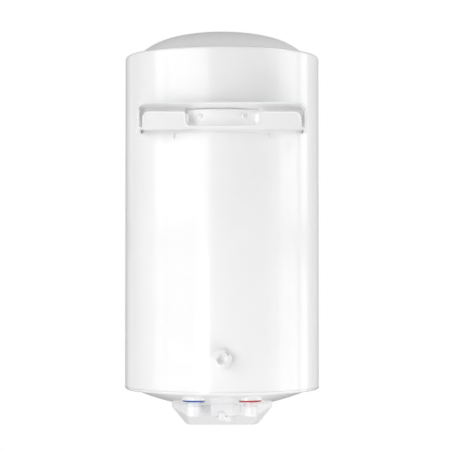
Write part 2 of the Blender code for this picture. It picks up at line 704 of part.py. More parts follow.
def smooth_run(points, steps):
    """Catmull-Rom curve through the points, with this many steps for each stretch."""
    padded = [points[0]] + list(points) + [points[-1]]
    padded = [Vector(p) for p in padded]
    run = []
    for i in range(1, len(padded) - 2):
        a, b, c, d = padded[i - 1:i + 3]
        for k in range(steps):
            t = k / steps
            spot = 2 * b + (c - a) * t + (2 * a - 5 * b + 4 * c - d) * t * t
            spot += (3 * b - a - 3 * c + d) * t ** 3
            run.append(tuple(spot / 2))
    return run + [tuple(padded[-1])]


def make_element():
    """U-shaped immersion heater; its two cold ends pass down through the flange plate."""
    centre = ELEMENT_TOP - ELEMENT_X
    bend = [(ELEMENT_X * cos(a), centre + ELEMENT_X * sin(a)) for a in [pi * i / 8 for i in range(9)]]
    points = [(ELEMENT_X, ELEMENT_Y, ELEMENT_LOW)] + [(x, ELEMENT_Y, z) for x, z in bend]
    tube("heating_element", points + [(-ELEMENT_X, ELEMENT_Y, ELEMENT_LOW)], ELEMENT_R, COPPER)


def make_flange_fittings():
    """Anode, sensor pocket, thermostat capillary and thermal cut-out."""
    low = PLATE_TOP + GAP
    anode = [(0, 0.0560), (ANODE_STUD_R, 0.0560), (ANODE_STUD_R, low), (ANODE_R, low)]
    anode += [(ANODE_R, ANODE_TOP - 0.005), (ANODE_R - 0.003, ANODE_TOP), (0, ANODE_TOP)]
    add("anode_rod", lathe(anode, 16), MAGNESIUM, (0, ANODE_Y, 0))
    head = PLATE_BOTTOM - GAP
    nut = [(0.0051, head - 0.006), (0.0085, head - 0.006), (0.0085, head), (0.0051, head)]
    add("anode_nut", lathe(nut, 6), STEEL, (0, ANODE_Y, 0))
    pocket = [(0, 0.265), (POCKET_R, 0.262), (POCKET_R, head), (0.0090, head), (0.0090, head - 0.004)]
    pocket += [(0.0050, head - 0.004), (0.0050, 0.260), (0, 0.263)]
    add("sensor_pocket", lathe(pocket, 16), COPPER)
    add("thermal_cutout", box((0.021, -0.008, 0.0565), (0.039, 0.008, head)), DARK_PLASTIC)
    route = [(0, -0.0740, 0.0280), (0, -0.0600, 0.0290), (0, -0.0300, 0.0310), (0, -0.0090, 0.0370)]
    route += [(0, -0.0010, 0.0500), (0, 0, 0.0700), (0, 0, 0.1200), (0, 0, 0.2400)]
    tube("thermostat_capillary", smooth_run(route, 4), CAPILLARY_R, COPPER, 1)


# ---------------------------------------------------------------- electrics cover
def carve(bm, point, normal):
    """Cut away what lies outside a plane and close the cut."""
    geometry = bm.verts[:] + bm.edges[:] + bm.faces[:]
    result = bmesh.ops.bisect_plane(bm, geom=geometry, plane_co=point, plane_no=normal, clear_outer=True)
    edges = [item for item in result["geom_cut"] if isinstance(item, bmesh.types.BMEdge)]
    bmesh.ops.edgeloop_fill(bm, edges=edges)


def cover_block(inset):
    """Faceted body of the cover as a solid, every face moved inwards by the inset."""
    bm = box((-0.2, -0.2, -0.1), (0.2, 0.2, 0.070))
    faces = [((0, 0, 0), (0, 0, -1)), ((0, COVER_REAR, 0), (0, 1, 0)), ((0, COVER_FRONT, 0), (0, -1, 0))]
    rise = COVER_REAR - COVER_REAR_FOOT
    faces.append(((0, COVER_REAR_FOOT, 0), (0, COVER_REAR_LOW, -rise)))
    for side in (1, -1):
        wing = Vector((side * COVER_HALF, COVER_WING_Y, COVER_SLOPE_TOP))
        edge = Vector((side * COVER_REAR_HALF, COVER_REAR, COVER_REAR_LOW))
        foot = Vector((side * COVER_CORNER_FOOT, COVER_REAR_FOOT, 0))
        corner = (edge - wing).cross(foot - wing) * side
        run = COVER_HALF - COVER_FOOT_HALF
        faces.append((wing, (side, 0, 0)))
        faces.append((wing, (side * (COVER_REAR - COVER_WING_Y), COVER_HALF - COVER_REAR_HALF, 0)))
        faces.append((wing, (side * COVER_SLOPE_TOP, 0, -run)))
        faces.append((wing, corner))
        faces.append(((side * COVER_FRONT_HALF, COVER_FRONT, 0),
                      (side * (COVER_FRONT_SIDE - COVER_FRONT), COVER_FRONT_HALF - COVER_HALF, 0)))
    for point, normal in faces:
        outward = Vector(normal).normalized()
        if outward.z > 0 and abs(outward.z) < 1:
            outward = -outward
        carve(bm, Vector(point) - outward * inset, outward)
    return bm


def duct_block(inset, low, high):
    """Cable duct that stands out of the cover's rear wall between the two pipes."""
    half, back = DUCT_HALF - inset * 0.8, DUCT_BACK - inset
    flank = DUCT_FLANK_HALF - inset * 1.1
    outline = [(half, back), (flank, DUCT_FLANK_Y - inset * 0.5), (flank + 0.001, COVER_REAR - 0.004 - inset)]
    return prism(mirrored(outline), low, high)


def make_cover():
    """Thin faceted tub under the bottom cap, with the cable duct and a front fascia."""
    outer = cover_block(0)
    bmesh.ops.bevel(outer, geom=[e for e in outer.edges if min(v.co.z for v in e.verts) < 0.069],
                    offset=0.0010, segments=1, profile=0.5, affect="EDGES")
    cover = add("electrics_cover", outer, WHITE_PLASTIC, crease=0.4)
    join(cover, add("cover_duct", duct_block(0, DUCT_LOW, 0.065)))
    cut(cover, add("cover_hollow", cover_block(COVER_WALL)))
    cut(cover, add("duct_hollow", duct_block(COVER_WALL, DUCT_LOW + COVER_WALL, 0.066)))
    spots = cover_screw_spots()
    join(cover, add("cover_screw_cups", posts(WELL_R + WELL_WALL, 0.0010, 0.0400, spots)))
    cut(cover, add("cover_screw_wells", posts(WELL_R, -0.0020, COVER_SCREW_SEAT, spots)))
    cut(cover, add("cover_screw_passages", posts(0.0024, COVER_SCREW_SEAT - 0.001, 0.0420, spots, 8)))
    radii = [0, 0.030, 0.052, 0.065, 0.080, 0.100, 0.120, 0.140]
    roof = [(r, base_height(r) - 0.0006) for r in radii] + [(0.150, 0.0575), (0.150, 0.090), (0, 0.090)]
    cut(cover, add("space_of_bottom_cap", lathe(roof)))
    for name, x, radius in (("spindle_hole", 0, SPINDLE_HOLE_R), ("lamp_hole", LAMP_X, LAMP_HOLE_R)):
        hole = rod(radius, -0.006, 0.006)
        cut(cover, add(name, hole, at=(x, COVER_FRONT, KNOB_Z), turn=(pi / 2, 0, 0)))
    cut(cover, add("grommet_hole", posts(GROMMET_HOLE_R, DUCT_LOW - 0.004, 0.028, [(0, GROMMET_Y)])))
    tap = rod(0.0019, -CLAMP_SCREW_RUN - 0.001, 0.004, 10)
    cut(cover, add("clamp_screw_hole", tap, at=(0, DUCT_BACK, CLAMP_SCREW_Z), turn=(-pi / 2, 0, 0)))
    return cover


def make_cable_entry():
    """Grommet in the duct's floor and the clamp plate behind it; no cable is fitted."""
    low = DUCT_LOW - 0.0016 - GAP
    top = DUCT_LOW + COVER_WALL
    ring = [(0.0042, low), (0.0084, low), (0.0084, DUCT_LOW - GAP), (0.0059, DUCT_LOW - GAP)]
    ring += [(0.0059, top + GAP), (0.0078, top + GAP), (0.0074, top + 0.0016), (0.0042, top + 0.0016)]
    add("cable_grommet", lathe(ring, 16), RUBBER, (0, GROMMET_Y, 0))
    face = DUCT_BACK + GAP
    outline = [(0.0068, 0.0141), (0.0068, 0.0285), (-0.0062, 0.0285), (-0.0062, 0.0200), (-0.0160, 0.0200)]
    outline += [(-0.0160, 0.0116), (-0.0062, 0.0116), (-0.0062, 0.0141)]
    clamp = add("cable_clamp", prism(outline, face, face + CLAMP_SHEET, "Y"), WHITE_STEEL)
    turn = (-pi / 2, 0, 0)
    bore = rod(0.0022, -0.004, 0.006)
    cut(clamp, add("clamp_bore", bore, at=(0, DUCT_BACK, CLAMP_SCREW_Z), turn=turn))
    spot = (0, face + CLAMP_SHEET + GAP, CLAMP_SCREW_Z)
    make_screw("clamp_screw", spot, turn, 0.0038, 0.0022, 0.0015, CLAMP_SCREW_RUN)


def make_cover_screws():
    for name, x in (("cover_screw_left", COVER_SCREW_X), ("cover_screw_right", -COVER_SCREW_X)):
        spot = (x, COVER_SCREW_Y, COVER_SCREW_SEAT - GAP)
        make_screw(name, spot, (pi, 0, 0), 0.0045, 0.0026, 0.0016, COVER_SCREW_RUN)


# ---------------------------------------------------------------- controls
def make_controls():
    """Temperature knob on its spindle, thermostat behind the fascia, and the pilot lamp."""
    turn = (pi / 2, 0, 0)
    at = (0, COVER_FRONT, KNOB_Z)
    rear = 0.0006
    knob = [(0, rear), (KNOB_R, rear), (KNOB_R, 0.0040), (KNOB_R - 0.0015, 0.0055)]
    dial = add("temperature_knob", lathe(knob + [(0.0125, 0.0060), (0, 0.0060)], 32), WHITE_PLASTIC, at, turn)
    grip = box((-GRIP_HALF, -0.0128, 0.004), (GRIP_HALF, 0.0128, KNOB_DEPTH))
    join(dial, add("knob_grip", grip, parent=dial))
    cut(dial, add("knob_socket", rod(0.0033, -0.001, 0.0100), parent=dial))
    add("knob_spindle", rod(0.0030, -0.0130, 0.0097), STEEL, at, turn)
    body = add("thermostat_body", box((-0.0165, -0.1000, 0.0060), (0.0165, -0.0745, 0.0345)), DARK_PLASTIC)
    cut(body, add("thermostat_bore", rod(0.0034, -0.0140, 0.002), at=at, turn=turn))
    lamp = (LAMP_X, COVER_FRONT, KNOB_Z)
    lens = [(0, -0.0040), (0.0040, -0.0040), (0.0040, GAP), (0.0055, GAP), (0.0052, 0.0014), (0.0035, 0.0024)]
    add("pilot_lamp_lens", lathe(lens + [(0, 0.0028)], 20), LAMP_RED, lamp, turn)
    add("pilot_lamp_holder", rod(0.0050, -0.0170, -0.0043, 16), DARK_PLASTIC, lamp, turn)


def make_terminal_block():
    """Three-pole terminal block on the cover's floor, with a lead to each heater end."""
    low = COVER_WALL + GAP
    outline = [(0.021, low)]
    for centre in (TERMINAL_PITCH, 0, -TERMINAL_PITCH):
        outline += [(centre + 0.0060, low + 0.010), (centre + 0.0045, low + 0.016)]
        outline += [(centre - 0.0045, low + 0.016), (centre - 0.0060, low + 0.010)]
    outline += [(-0.021, low)]
    block = prism(outline, TERMINAL_Y - TERMINAL_HALF, TERMINAL_Y + TERMINAL_HALF, "Y")
    add("terminal_block", block, DARK_PLASTIC)
    start = low + 0.016 + GAP
    for name, side in (("live_lead", 1), ("neutral_lead", -1)):
        route = [(side * TERMINAL_PITCH, TERMINAL_Y, start), (side * 0.0150, TERMINAL_Y, 0.030)]
        route += [(side * 0.0140, ELEMENT_Y, 0.040)]
        route += [(side * ELEMENT_X, ELEMENT_Y, 0.0460), (side * ELEMENT_X, ELEMENT_Y, ELEMENT_LOW - GAP)]
        tube(name, smooth_run(route, 3), LEAD_R, DARK_PLASTIC, 1)
    route = [(0, TERMINAL_Y, start), (0, TERMINAL_Y, 0.027), (0, 0.027, 0.038), (0, 0.038, 0.052)]
    route += [(0, 0.040, PLATE_BOTTOM - GAP)]
    tube("earth_lead", smooth_run(route, 3), LEAD_R, DARK_PLASTIC, 1)


def main():
    clear_scene()
    frame = bpy.data.objects.new("heater_frame", None)
    bpy.context.collection.objects.link(frame)
    frame.location = (0, -WALL_Y, -MOUNT_Z)
    jacket = make_jacket()
    make_top_cap()
    make_bottom_cap()
    foam = make_foam()
    make_bracket()
    saddle = make_saddle()
    make_bracket_screws([jacket, foam, saddle])
    make_foot()
    make_connection("inlet", PIPE_X, INLET_TOP, BLUE_PLASTIC)
    make_connection("outlet", -PIPE_X, OUTLET_TOP, RED_PLASTIC)
    make_inlet_baffle()
    make_tank()
    make_flange()
    make_element()
    make_flange_fittings()
    make_cover()
    make_cable_entry()
    make_cover_screws()
    make_controls()
    make_terminal_block()


main()
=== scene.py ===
"""Looks of the wall-hung water heater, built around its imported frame.

Pieces are modelled in the heater's own coordinates, in metres: x across, y from the tank's axis
towards the wall, z up from the bottom of the electrics cover. HEATER is where that origin lies.
"""
import json
from math import atan2, cos, hypot, pi, radians, sin, sqrt

import bmesh
import bpy
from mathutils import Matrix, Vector


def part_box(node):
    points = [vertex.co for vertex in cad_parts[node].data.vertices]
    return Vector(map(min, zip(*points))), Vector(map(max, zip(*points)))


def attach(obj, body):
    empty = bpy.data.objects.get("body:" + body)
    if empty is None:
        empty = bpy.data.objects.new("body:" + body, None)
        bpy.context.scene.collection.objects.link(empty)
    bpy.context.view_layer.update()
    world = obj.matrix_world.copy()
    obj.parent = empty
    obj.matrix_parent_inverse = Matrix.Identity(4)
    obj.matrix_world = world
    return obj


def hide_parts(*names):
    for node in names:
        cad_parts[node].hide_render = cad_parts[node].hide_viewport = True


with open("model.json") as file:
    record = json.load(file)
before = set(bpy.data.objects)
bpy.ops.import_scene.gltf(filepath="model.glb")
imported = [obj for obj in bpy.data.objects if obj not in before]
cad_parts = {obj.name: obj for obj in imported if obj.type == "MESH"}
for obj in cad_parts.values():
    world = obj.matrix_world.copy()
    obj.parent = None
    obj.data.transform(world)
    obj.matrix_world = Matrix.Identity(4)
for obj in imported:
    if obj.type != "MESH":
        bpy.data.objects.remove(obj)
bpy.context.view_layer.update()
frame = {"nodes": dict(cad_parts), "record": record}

JACKET_LOW, JACKET_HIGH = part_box("outer_jacket")
HEATER = Vector((0, (JACKET_LOW.y + JACKET_HIGH.y) / 2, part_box("electrics_cover")[0].z))


def corner(node, high=True):
    """A node's highest or lowest corner in the heater's coordinates."""
    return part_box(node)[1 if high else 0] - HEATER


# ---------------------------------------------------------------- driving dimensions (metres)
GAP = 0.0003
FINE = 192                  # facets of the large shells
MEDIUM = 96
SMALL = 48

JACKET_R = corner("outer_jacket").x
JACKET_SHEET = 0.0010
JACKET_BOTTOM = corner("outer_jacket", False).z
RIM_TOP = corner("outer_jacket").z
SHOULDER = 0.0055           # radius of the jacket's rolled top edge
RIM_INNER_R = 0.1585
WALL_Y = corner("wall_bracket").y

TOP_EDGE_R = corner("top_cap").x
TOP_PEAK = corner("top_cap").z
CAP_WALL = 0.0025

BASE_Z = 0.0286             # lowest height of the bottom cap's dome, on the axis
BASE_CURVE = 1.33
BASE_EDGE_R = 0.1575
BASE_HOLE_R = 0.0520

PIPE_X = (corner("inlet_ring").x + corner("inlet_ring", False).x) / 2
PIPE_Y = (corner("inlet_ring").y + corner("inlet_ring", False).y) / 2
PIPE_R = 0.0105
PIPE_BORE = 0.0078
PIPE_END = corner("inlet_pipe", False).z
THREAD_PITCH = 0.001814     # G 1/2
THREAD_DEPTH = 0.00095
THREAD_TOP = 0.0470
RING_R = corner("inlet_ring").x - PIPE_X
RING_LOW = corner("inlet_ring", False).z
RING_HIGH = corner("inlet_ring").z
SEAT_R_DEEP = 0.0226        # radius of the ring's seat towards the tank's axis, and away from it
SEAT_R_EDGE = 0.0182
SEAT_RISE = 0.0065
THREAD_CAP_R = 0.01225
THREAD_CAP_LOW = corner("inlet_thread_cap", False).z
THREAD_CAP_FLANGE = 0.0399   # the cap's flange; above it a narrower neck reaches on to the ring
THREAD_CAP_NECK_R = 0.0118
THREAD_CAP_HIGH = RING_LOW - GAP

BRACKET_HALF = corner("wall_bracket").x
BRACKET_TOP = corner("wall_bracket").z
BRACKET_SHEET = 0.0030
BRACKET_CORNER = 0.0140
BRACKET_DROP = 0.0070
WEB_BACK = 0.1730
WEB_FRONT = 0.1760
WEB_INNER = 0.0630
LEG_TIP = corner("wall_bracket", False).z
LEG_WIDTH = 0.0040
PLATE_HALF = 0.1363
PLATE_LOW = 0.5198
SHOULDER_TOP = 0.5512
SHOULDER_R = 0.0120
STEP_X = 0.0622
STEP_R = 0.0068
NOTCH_TOP = 0.5266
NOTCH_R = 0.0088
LIP_DEPTH = 0.0065
LIP_SHEET = 0.0020
LIP_LEAN = 0.0070
BEAD_HEIGHT = 0.0008        # the rolled bead along the plate's edge stands this proud

SADDLE_HALF = 0.0855
SADDLE_LOW = 0.5165
SADDLE_HIGH = 0.5565
SADDLE_FIN = 0.5081
SADDLE_R = 0.1771
SADDLE_SHEET = 0.0029
BRACKET_SCREW_X = 0.0374
BRACKET_SCREW_Z = 0.5449

FOOT_Z = (corner("foot_pad").z + corner("foot_pad", False).z) / 2
FOOT_R = 0.01125
FOOT_EAR_R = 0.0158
FOOT_EAR_HALF = 0.00515
FOOT_BACK = 0.1868
FOOT_FRONT = 0.1995
FOOT_RECESS = 0.1895
FOOT_STEM_R = 0.0070
BUSH_BORE = 0.0073
BUSH_END = 0.1862           # the fixed bush stops just behind the knob's body

COVER_HALF = 0.0905
COVER_SLOPE_TOP = 0.0331
COVER_FOOT_HALF = 0.0656
COVER_REAR = 0.0750
COVER_REAR_HALF = 0.0627
COVER_REAR_LOW = 0.0198
COVER_REAR_FOOT = 0.0350
COVER_CORNER_FOOT = 0.0575
COVER_WING_Y = 0.0330
COVER_FRONT = corner("electrics_cover", False).y
COVER_FRONT_HALF = 0.0500
COVER_FRONT_SIDE = -0.0600
COVER_WALL = 0.0025
DUCT_HALF = 0.0197
DUCT_BACK = corner("electrics_cover").y
CLAMP_SHEET = 0.0015
CLAMP_SCREW_Z = 0.0242
DUCT_FLANK_HALF = 0.0320
DUCT_FLANK_Y = 0.0800
DUCT_LOW = 0.0213
GROMMET_Y = 0.0870

KNOB_Z = (corner("temperature_knob").z + corner("temperature_knob", False).z) / 2
KNOB_R = 0.0155
KNOB_DEPTH = 0.0140
KNOB_GRIP_HALF = 0.0034
LAMP_X = 0.0340
COVER_SCREW_X = 0.0550
COVER_SCREW_Y = -0.0300
COVER_SCREW_SEAT = 0.0250
WELL_R = 0.0056
WELL_WALL = 0.0020


# ---------------------------------------------------------------- procedural materials
def shader_tree(name):
    """A new material with its node tree, its Principled shader and object coordinates."""
    material = bpy.data.materials.new(name)
    material.use_nodes = True
    nodes = material.node_tree.nodes
    coordinates = nodes.new("ShaderNodeTexCoord")
    return material, material.node_tree, nodes["Principled BSDF"], coordinates


def noise(tree, vector, scale, detail=3.0, stretch=None):
    """A noise texture; stretch scales its coordinates so that its grains become streaks."""
    if stretch:
        mapping = tree.nodes.new("ShaderNodeMapping")
        mapping.inputs["Scale"].default_value = stretch
        tree.links.new(vector, mapping.inputs["Vector"])
        vector = mapping.outputs["Vector"]
    texture = tree.nodes.new("ShaderNodeTexNoise")
    texture.inputs["Scale"].default_value = scale
    texture.inputs["Detail"].default_value = detail
    tree.links.new(vector, texture.inputs["Vector"])
    return texture.outputs["Fac"]


def spread(tree, value, low, high):
    """Map the middle of a noise's range to low..high."""
    node = tree.nodes.new("ShaderNodeMapRange")
    node.inputs["From Min"].default_value = 0.3
    node.inputs["From Max"].default_value = 0.7
    node.inputs["To Min"].default_value = low
    node.inputs["To Max"].default_value = high
    tree.links.new(value, node.inputs["Value"])
    return node.outputs["Result"]


def tint(tree, value, one, other):
    """Blend two colours by a noise."""
    ramp = tree.nodes.new("ShaderNodeValToRGB")
    ramp.color_ramp.elements[0].position = 0.35
    ramp.color_ramp.elements[1].position = 0.65
    ramp.color_ramp.elements[0].color = (*one, 1)
    ramp.color_ramp.elements[1].color = (*other, 1)
    tree.links.new(value, ramp.inputs["Fac"])
    return ramp.outputs["Color"]


def relief(tree, shader, height, strength, distance):
    """Drive the shader's normal by a height."""
    bump = tree.nodes.new("ShaderNodeBump")
    bump.inputs["Strength"].default_value = strength
    bump.inputs["Distance"].default_value = distance
    tree.links.new(height, bump.inputs["Height"])
    tree.links.new(bump.outputs["Normal"], shader.inputs["Normal"])


def surface(name, colours, rough, grain, bump, metallic=0.0, coat=0.0, stretch=None, patch=14):
    """A finish: patchy colour, patchy roughness and fine relief.

    colours and rough are pairs that the patches blend between, grain is the relief's noise
    scale and bump its depth in metres.
    """
    material, tree, shader, coordinates = shader_tree(name)
    vector = coordinates.outputs["Object"]
    patches = noise(tree, vector, patch, 4)
    grains = noise(tree, vector, grain, 3, stretch)
    tree.links.new(tint(tree, patches, *colours), shader.inputs["Base Color"])
    tree.links.new(spread(tree, grains, *rough), shader.inputs["Roughness"])
    relief(tree, shader, grains, 0.5, bump)
    shader.inputs["Metallic"].default_value = metallic
    shader.inputs["Coat Weight"].default_value = coat
    shader.inputs["Coat Roughness"].default_value = 0.08
    return material


def lens_material():
    """Red translucent plastic of the pilot lamp."""
    material = surface("lamp_lens", ((0.75, 0.04, 0.02), (0.62, 0.02, 0.01)), (0.06, 0.14), 500, 0.00002)
    shader = material.node_tree.nodes["Principled BSDF"]
    shader.inputs["Transmission Weight"].default_value = 0.35
    shader.inputs["IOR"].default_value = 1.49
    return material


def plated_material(name, tone):
    """Zinc plating: bright, with a fine turned streak and cloudy passivation."""
    material = surface(name, (tone, tuple(0.95 * c for c in tone)), (0.58, 0.72), 900, 0.00002,
                       metallic=1.0, stretch=(1, 1, 0.2), patch=160)
    return material


WHITE = (0.91, 0.91, 0.915)
WHITE_SHADE = (0.895, 0.895, 0.902)
POLISHED = surface("polished_plastic", (WHITE, WHITE_SHADE), (0.03, 0.06), 500, 0.000002, coat=0.6)
MATERIALS = {
    "white_enamelled_steel": surface("white_enamel", (WHITE, WHITE_SHADE), (0.20, 0.27), 420, 0.000008,
                                     coat=0.35),
    "white_plastic": surface("white_plastic", (WHITE, WHITE_SHADE), (0.24, 0.33), 900, 0.000012),
    "blue_plastic": surface("blue_plastic", ((0.002, 0.095, 0.42), (0.002, 0.080, 0.37)), (0.42, 0.52),
                            1100, 0.00002),
    "red_plastic": surface("red_plastic", ((0.50, 0.004, 0.008), (0.42, 0.003, 0.006)), (0.42, 0.52),
                           1100, 0.00002),
    "zinc_screws": plated_material("zinc", (0.96, 0.96, 0.965)),
    "plain_steel": plated_material("turned_steel", (0.58, 0.58, 0.59)),
    "tank_enamel": surface("tank_enamel", ((0.05, 0.12, 0.16), (0.03, 0.09, 0.13)), (0.25, 0.45), 160,
                           0.00006, coat=0.5),
    "foam": surface("rigid_foam", ((0.86, 0.76, 0.46), (0.78, 0.66, 0.36)), (0.85, 1.0), 260, 0.0006),
    "copper": surface("drawn_copper", ((0.74, 0.38, 0.24), (0.62, 0.28, 0.16)), (0.22, 0.40), 300, 0.00003,
                      metallic=1.0),
    "lead_insulation": surface("lead_insulation", ((0.09, 0.09, 0.10), (0.06, 0.06, 0.07)), (0.45, 0.60),
                               900, 0.00003),
    "magnesium": surface("cast_magnesium", ((0.62, 0.63, 0.64), (0.50, 0.51, 0.52)), (0.45, 0.70), 350,
                         0.00012, metallic=1.0),
    "rubber": surface("rubber", ((0.030, 0.030, 0.032), (0.020, 0.020, 0.022)), (0.65, 0.85), 1200, 0.00004),
    "lamp_lens": lens_material(),
    "dark_plastic": surface("dark_plastic", ((0.055, 0.055, 0.060), (0.042, 0.042, 0.046)), (0.38, 0.52),
                            1000, 0.00003),
}


# ---------------------------------------------------------------- mesh helpers
def round_ring(radius, height, sides, at=(0, 0)):
    """Points of one level ring; a radius of 0 gives a single pole."""
    angles = [2 * pi * i / sides for i in range(sides if radius else 1)]
    return [(at[0] + radius * cos(a), at[1] + radius * sin(a), height) for a in angles]


def skin(rings, sides):
    """Closed solid over rings of points; without poles the last ring joins the first."""
    bm = bmesh.new()
    rows = [[bm.verts.new(point) for point in ring] for ring in rings]
    pairs = list(zip(rows, rows[1:]))
    if len(rows[0]) > 1:
        pairs.append((rows[-1], rows[0]))
    for low, high in pairs:
        for i in range(sides):
            j = (i + 1) % sides
            corners = [low[i % len(low)], low[j % len(low)], high[j % len(high)], high[i % len(high)]]
            bm.faces.new(list(dict.fromkeys(corners)))
    return bm


def lathe(profile, sides):
    """Solid of revolution about Z from (radius, height) points; a radius of 0 makes a pole."""
    return skin([round_ring(radius, height, sides) for radius, height in profile], sides)


def loft(loops):
    """Closed solid through loops of 3-D points that have equal counts."""
    bm = bmesh.new()
    rings = [[bm.verts.new(point) for point in loop] for loop in loops]
    count = len(rings[0])
    for low, high in zip(rings, rings[1:]):
        for i in range(count):
            j = (i + 1) % count
            bm.faces.new((low[i], low[j], high[j], high[i]))
    bm.faces.new(rings[0])
    bm.faces.new(rings[-1])
    return bm


def prism(outline, low, high, along="Z"):
    """Extrude a flat outline: in XY along Z, or in XZ along Y."""
    if along == "Z":
        return loft([[(u, v, w) for u, v in outline] for w in (low, high)])
    return loft([[(u, w, v) for u, v in outline] for w in (low, high)])


def box(low, high):
    """Axis-aligned block between two corners."""
    outline = [(low[0], low[1]), (high[0], low[1]), (high[0], high[1]), (low[0], high[1])]
    return prism(outline, low[2], high[2])


def soften(bm, width, segments=3, limit=0.6):
    """Round the edges whose faces meet at more than the limit, in radians."""
    bmesh.ops.recalc_face_normals(bm, faces=bm.faces)
    sharp = [e for e in bm.edges if e.is_manifold and e.calc_face_angle() > limit]
    bmesh.ops.bevel(bm, geom=sharp, offset=width, segments=segments, profile=0.5, affect="EDGES",
                    clamp_overlap=True)
    return bm


def arc(centre, radius, start, end, steps):
    """Points of an arc, angles in radians, both ends included."""
    angles = [start + (end - start) * i / steps for i in range(steps + 1)]
    return [(centre[0] + radius * cos(a), centre[1] + radius * sin(a)) for a in angles]


def rounded(profile, radii, steps=5, closed=False):
    """Round a profile's inner corners; radii gives one value, or one for each point."""
    points = [Vector(p) for p in profile]
    radii = radii if isinstance(radii, (list, tuple)) else [radii] * len(points)
    result = []
    for i, point in enumerate(points):
        radius = radii[i]
        if not radius or (not closed and i in (0, len(points) - 1)):
            result.append(tuple(point))
            continue
        before = points[i - 1] - point
        after = points[(i + 1) % len(points)] - point
        reach = min(radius, before.length * 0.45, after.length * 0.45)
        start = point + before.normalized() * reach
        end = point + after.normalized() * reach
        for k in range(steps + 1):
            t = k / steps
            result.append(tuple((1 - t) ** 2 * start + 2 * t * (1 - t) * point + t * t * end))
    return result


def merged(parts):
    """One bmesh that holds several separate solids."""
    whole = bmesh.new()
    for bm in parts:
        scratch = bpy.data.meshes.new("scratch")
        bm.to_mesh(scratch)
        bm.free()
        whole.from_mesh(scratch)
        bpy.data.meshes.remove(scratch)
    return whole


def shifted(bm, offset):
    bmesh.ops.translate(bm, verts=bm.verts, vec=Vector(offset))
    return bm


def posts(radius, low, high, spots, sides=SMALL):
    """Several upright cylinders."""
    outline = [(x, y) for x, y, z in round_ring(radius, 0, sides)]
    return merged([shifted(prism(outline, low, high), (x, y, 0)) for x, y in spots])


def mirrored(outline):
    """Close a half outline, given from its left end to its right end at X > 0, across X = 0."""
    return outline + [(-x, z) for x, z in reversed(outline)]


def raw(name, bm, at=(0, 0, 0), turn=(0, 0, 0)):
    """Put a bmesh in the scene as an object in the heater's coordinates."""
    bmesh.ops.recalc_face_normals(bm, faces=bm.faces)
    mesh = bpy.data.meshes.new(name)
    bm.to_mesh(mesh)
    bm.free()
    obj = bpy.data.objects.new(name, mesh)
    bpy.context.scene.collection.objects.link(obj)
    obj.location = HEATER + Vector(at)
    obj.rotation_euler = turn
    return obj


def combine(target, bm, operation, at=(0, 0, 0), turn=(0, 0, 0)):
    """Boolean a bmesh into the target for good."""
    other = raw("cutter", bm, at, turn)
    modifier = target.modifiers.new("boolean", "BOOLEAN")
    modifier.operation = operation
    modifier.solver = "EXACT"
    modifier.object = other
    bpy.context.view_layer.update()
    evaluated = target.evaluated_get(bpy.context.evaluated_depsgraph_get())
    result = bpy.data.meshes.new_from_object(evaluated)
    target.modifiers.clear()
    target.data = result
    bpy.data.objects.remove(other, do_unlink=True)
    return target


def join(target, bm, at=(0, 0, 0), turn=(0, 0, 0)):
    return combine(target, bm, "UNION", at, turn)


def cut(target, bm, at=(0, 0, 0), turn=(0, 0, 0)):
    return combine(target, bm, "DIFFERENCE", at, turn)


def dress(piece, slot, body, *nodes, crease=0.55, look=None):
    """Clean a finished piece, shade it, give it its finish and put it on its body."""
    bm = bmesh.new()
    bm.from_mesh(piece.data)
    bmesh.ops.remove_doubles(bm, verts=bm.verts, dist=0.000002)
    bmesh.ops.dissolve_degenerate(bm, edges=bm.edges, dist=0.000002)
    bm.to_mesh(piece.data)
    bm.free()
    piece.data.shade_smooth()
    piece.data.set_sharp_from_angle(angle=crease)
    piece.data.materials.clear()
    piece.data.materials.append(look or MATERIALS[slot])
    weighted = piece.modifiers.new("weighted_normals", "WEIGHTED_NORMAL")
    weighted.keep_sharp = True
    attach(piece, body)
    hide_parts(*nodes)
    return piece


# ---------------------------------------------------------------- casing
def base_height(radius):
    """Underside of the bottom cap's dome."""
    return BASE_Z + BASE_CURVE * radius * radius


def dome_height(radius):
    """Top of the domed cap: a flat crown that turns down quickly near its edge."""
    return TOP_PEAK - 1.1 * radius ** 2 - 1310 * radius ** 6


def make_jacket():
    """Rolled sheet tube with a hem at the bottom and a curled rim at the top."""
    centre = (JACKET_R - SHOULDER, RIM_TOP - SHOULDER)
    hem = 0.0006
    profile = arc((JACKET_R - hem, JACKET_BOTTOM + hem), hem, -pi / 2, 0, 4)
    profile += arc(centre, SHOULDER, 0, pi / 2, 14)
    profile += arc((RIM_INNER_R + hem, RIM_TOP - hem), hem, pi / 2, pi * 3 / 2, 6)
    profile += arc(centre, SHOULDER - JACKET_SHEET, pi / 2, 0, 8)
    profile += [(JACKET_R - JACKET_SHEET, JACKET_BOTTOM)]
    jacket = raw("jacket_shell", lathe(profile, FINE))
    return dress(jacket, "white_enamelled_steel", "heater_body", "outer_jacket", crease=0.9)


def make_top_cap():
    skirt = RIM_TOP - 0.008
    steps = 40
    crown = [TOP_EDGE_R * i / steps for i in range(steps)]
    profile = [(r, dome_height(r)) for r in crown]
    profile += arc((TOP_EDGE_R - 0.0008, dome_height(TOP_EDGE_R) - 0.0002), 0.0008, pi / 3, 0, 4)
    profile += [(TOP_EDGE_R, skirt), (TOP_EDGE_R - CAP_WALL, skirt)]
    profile += [(r, dome_height(r) - CAP_WALL) for r in reversed(crown[::2])]
    cap = raw("top_dome", lathe(profile, FINE))
    return dress(cap, "white_plastic", "heater_body", "top_cap", crease=0.9)


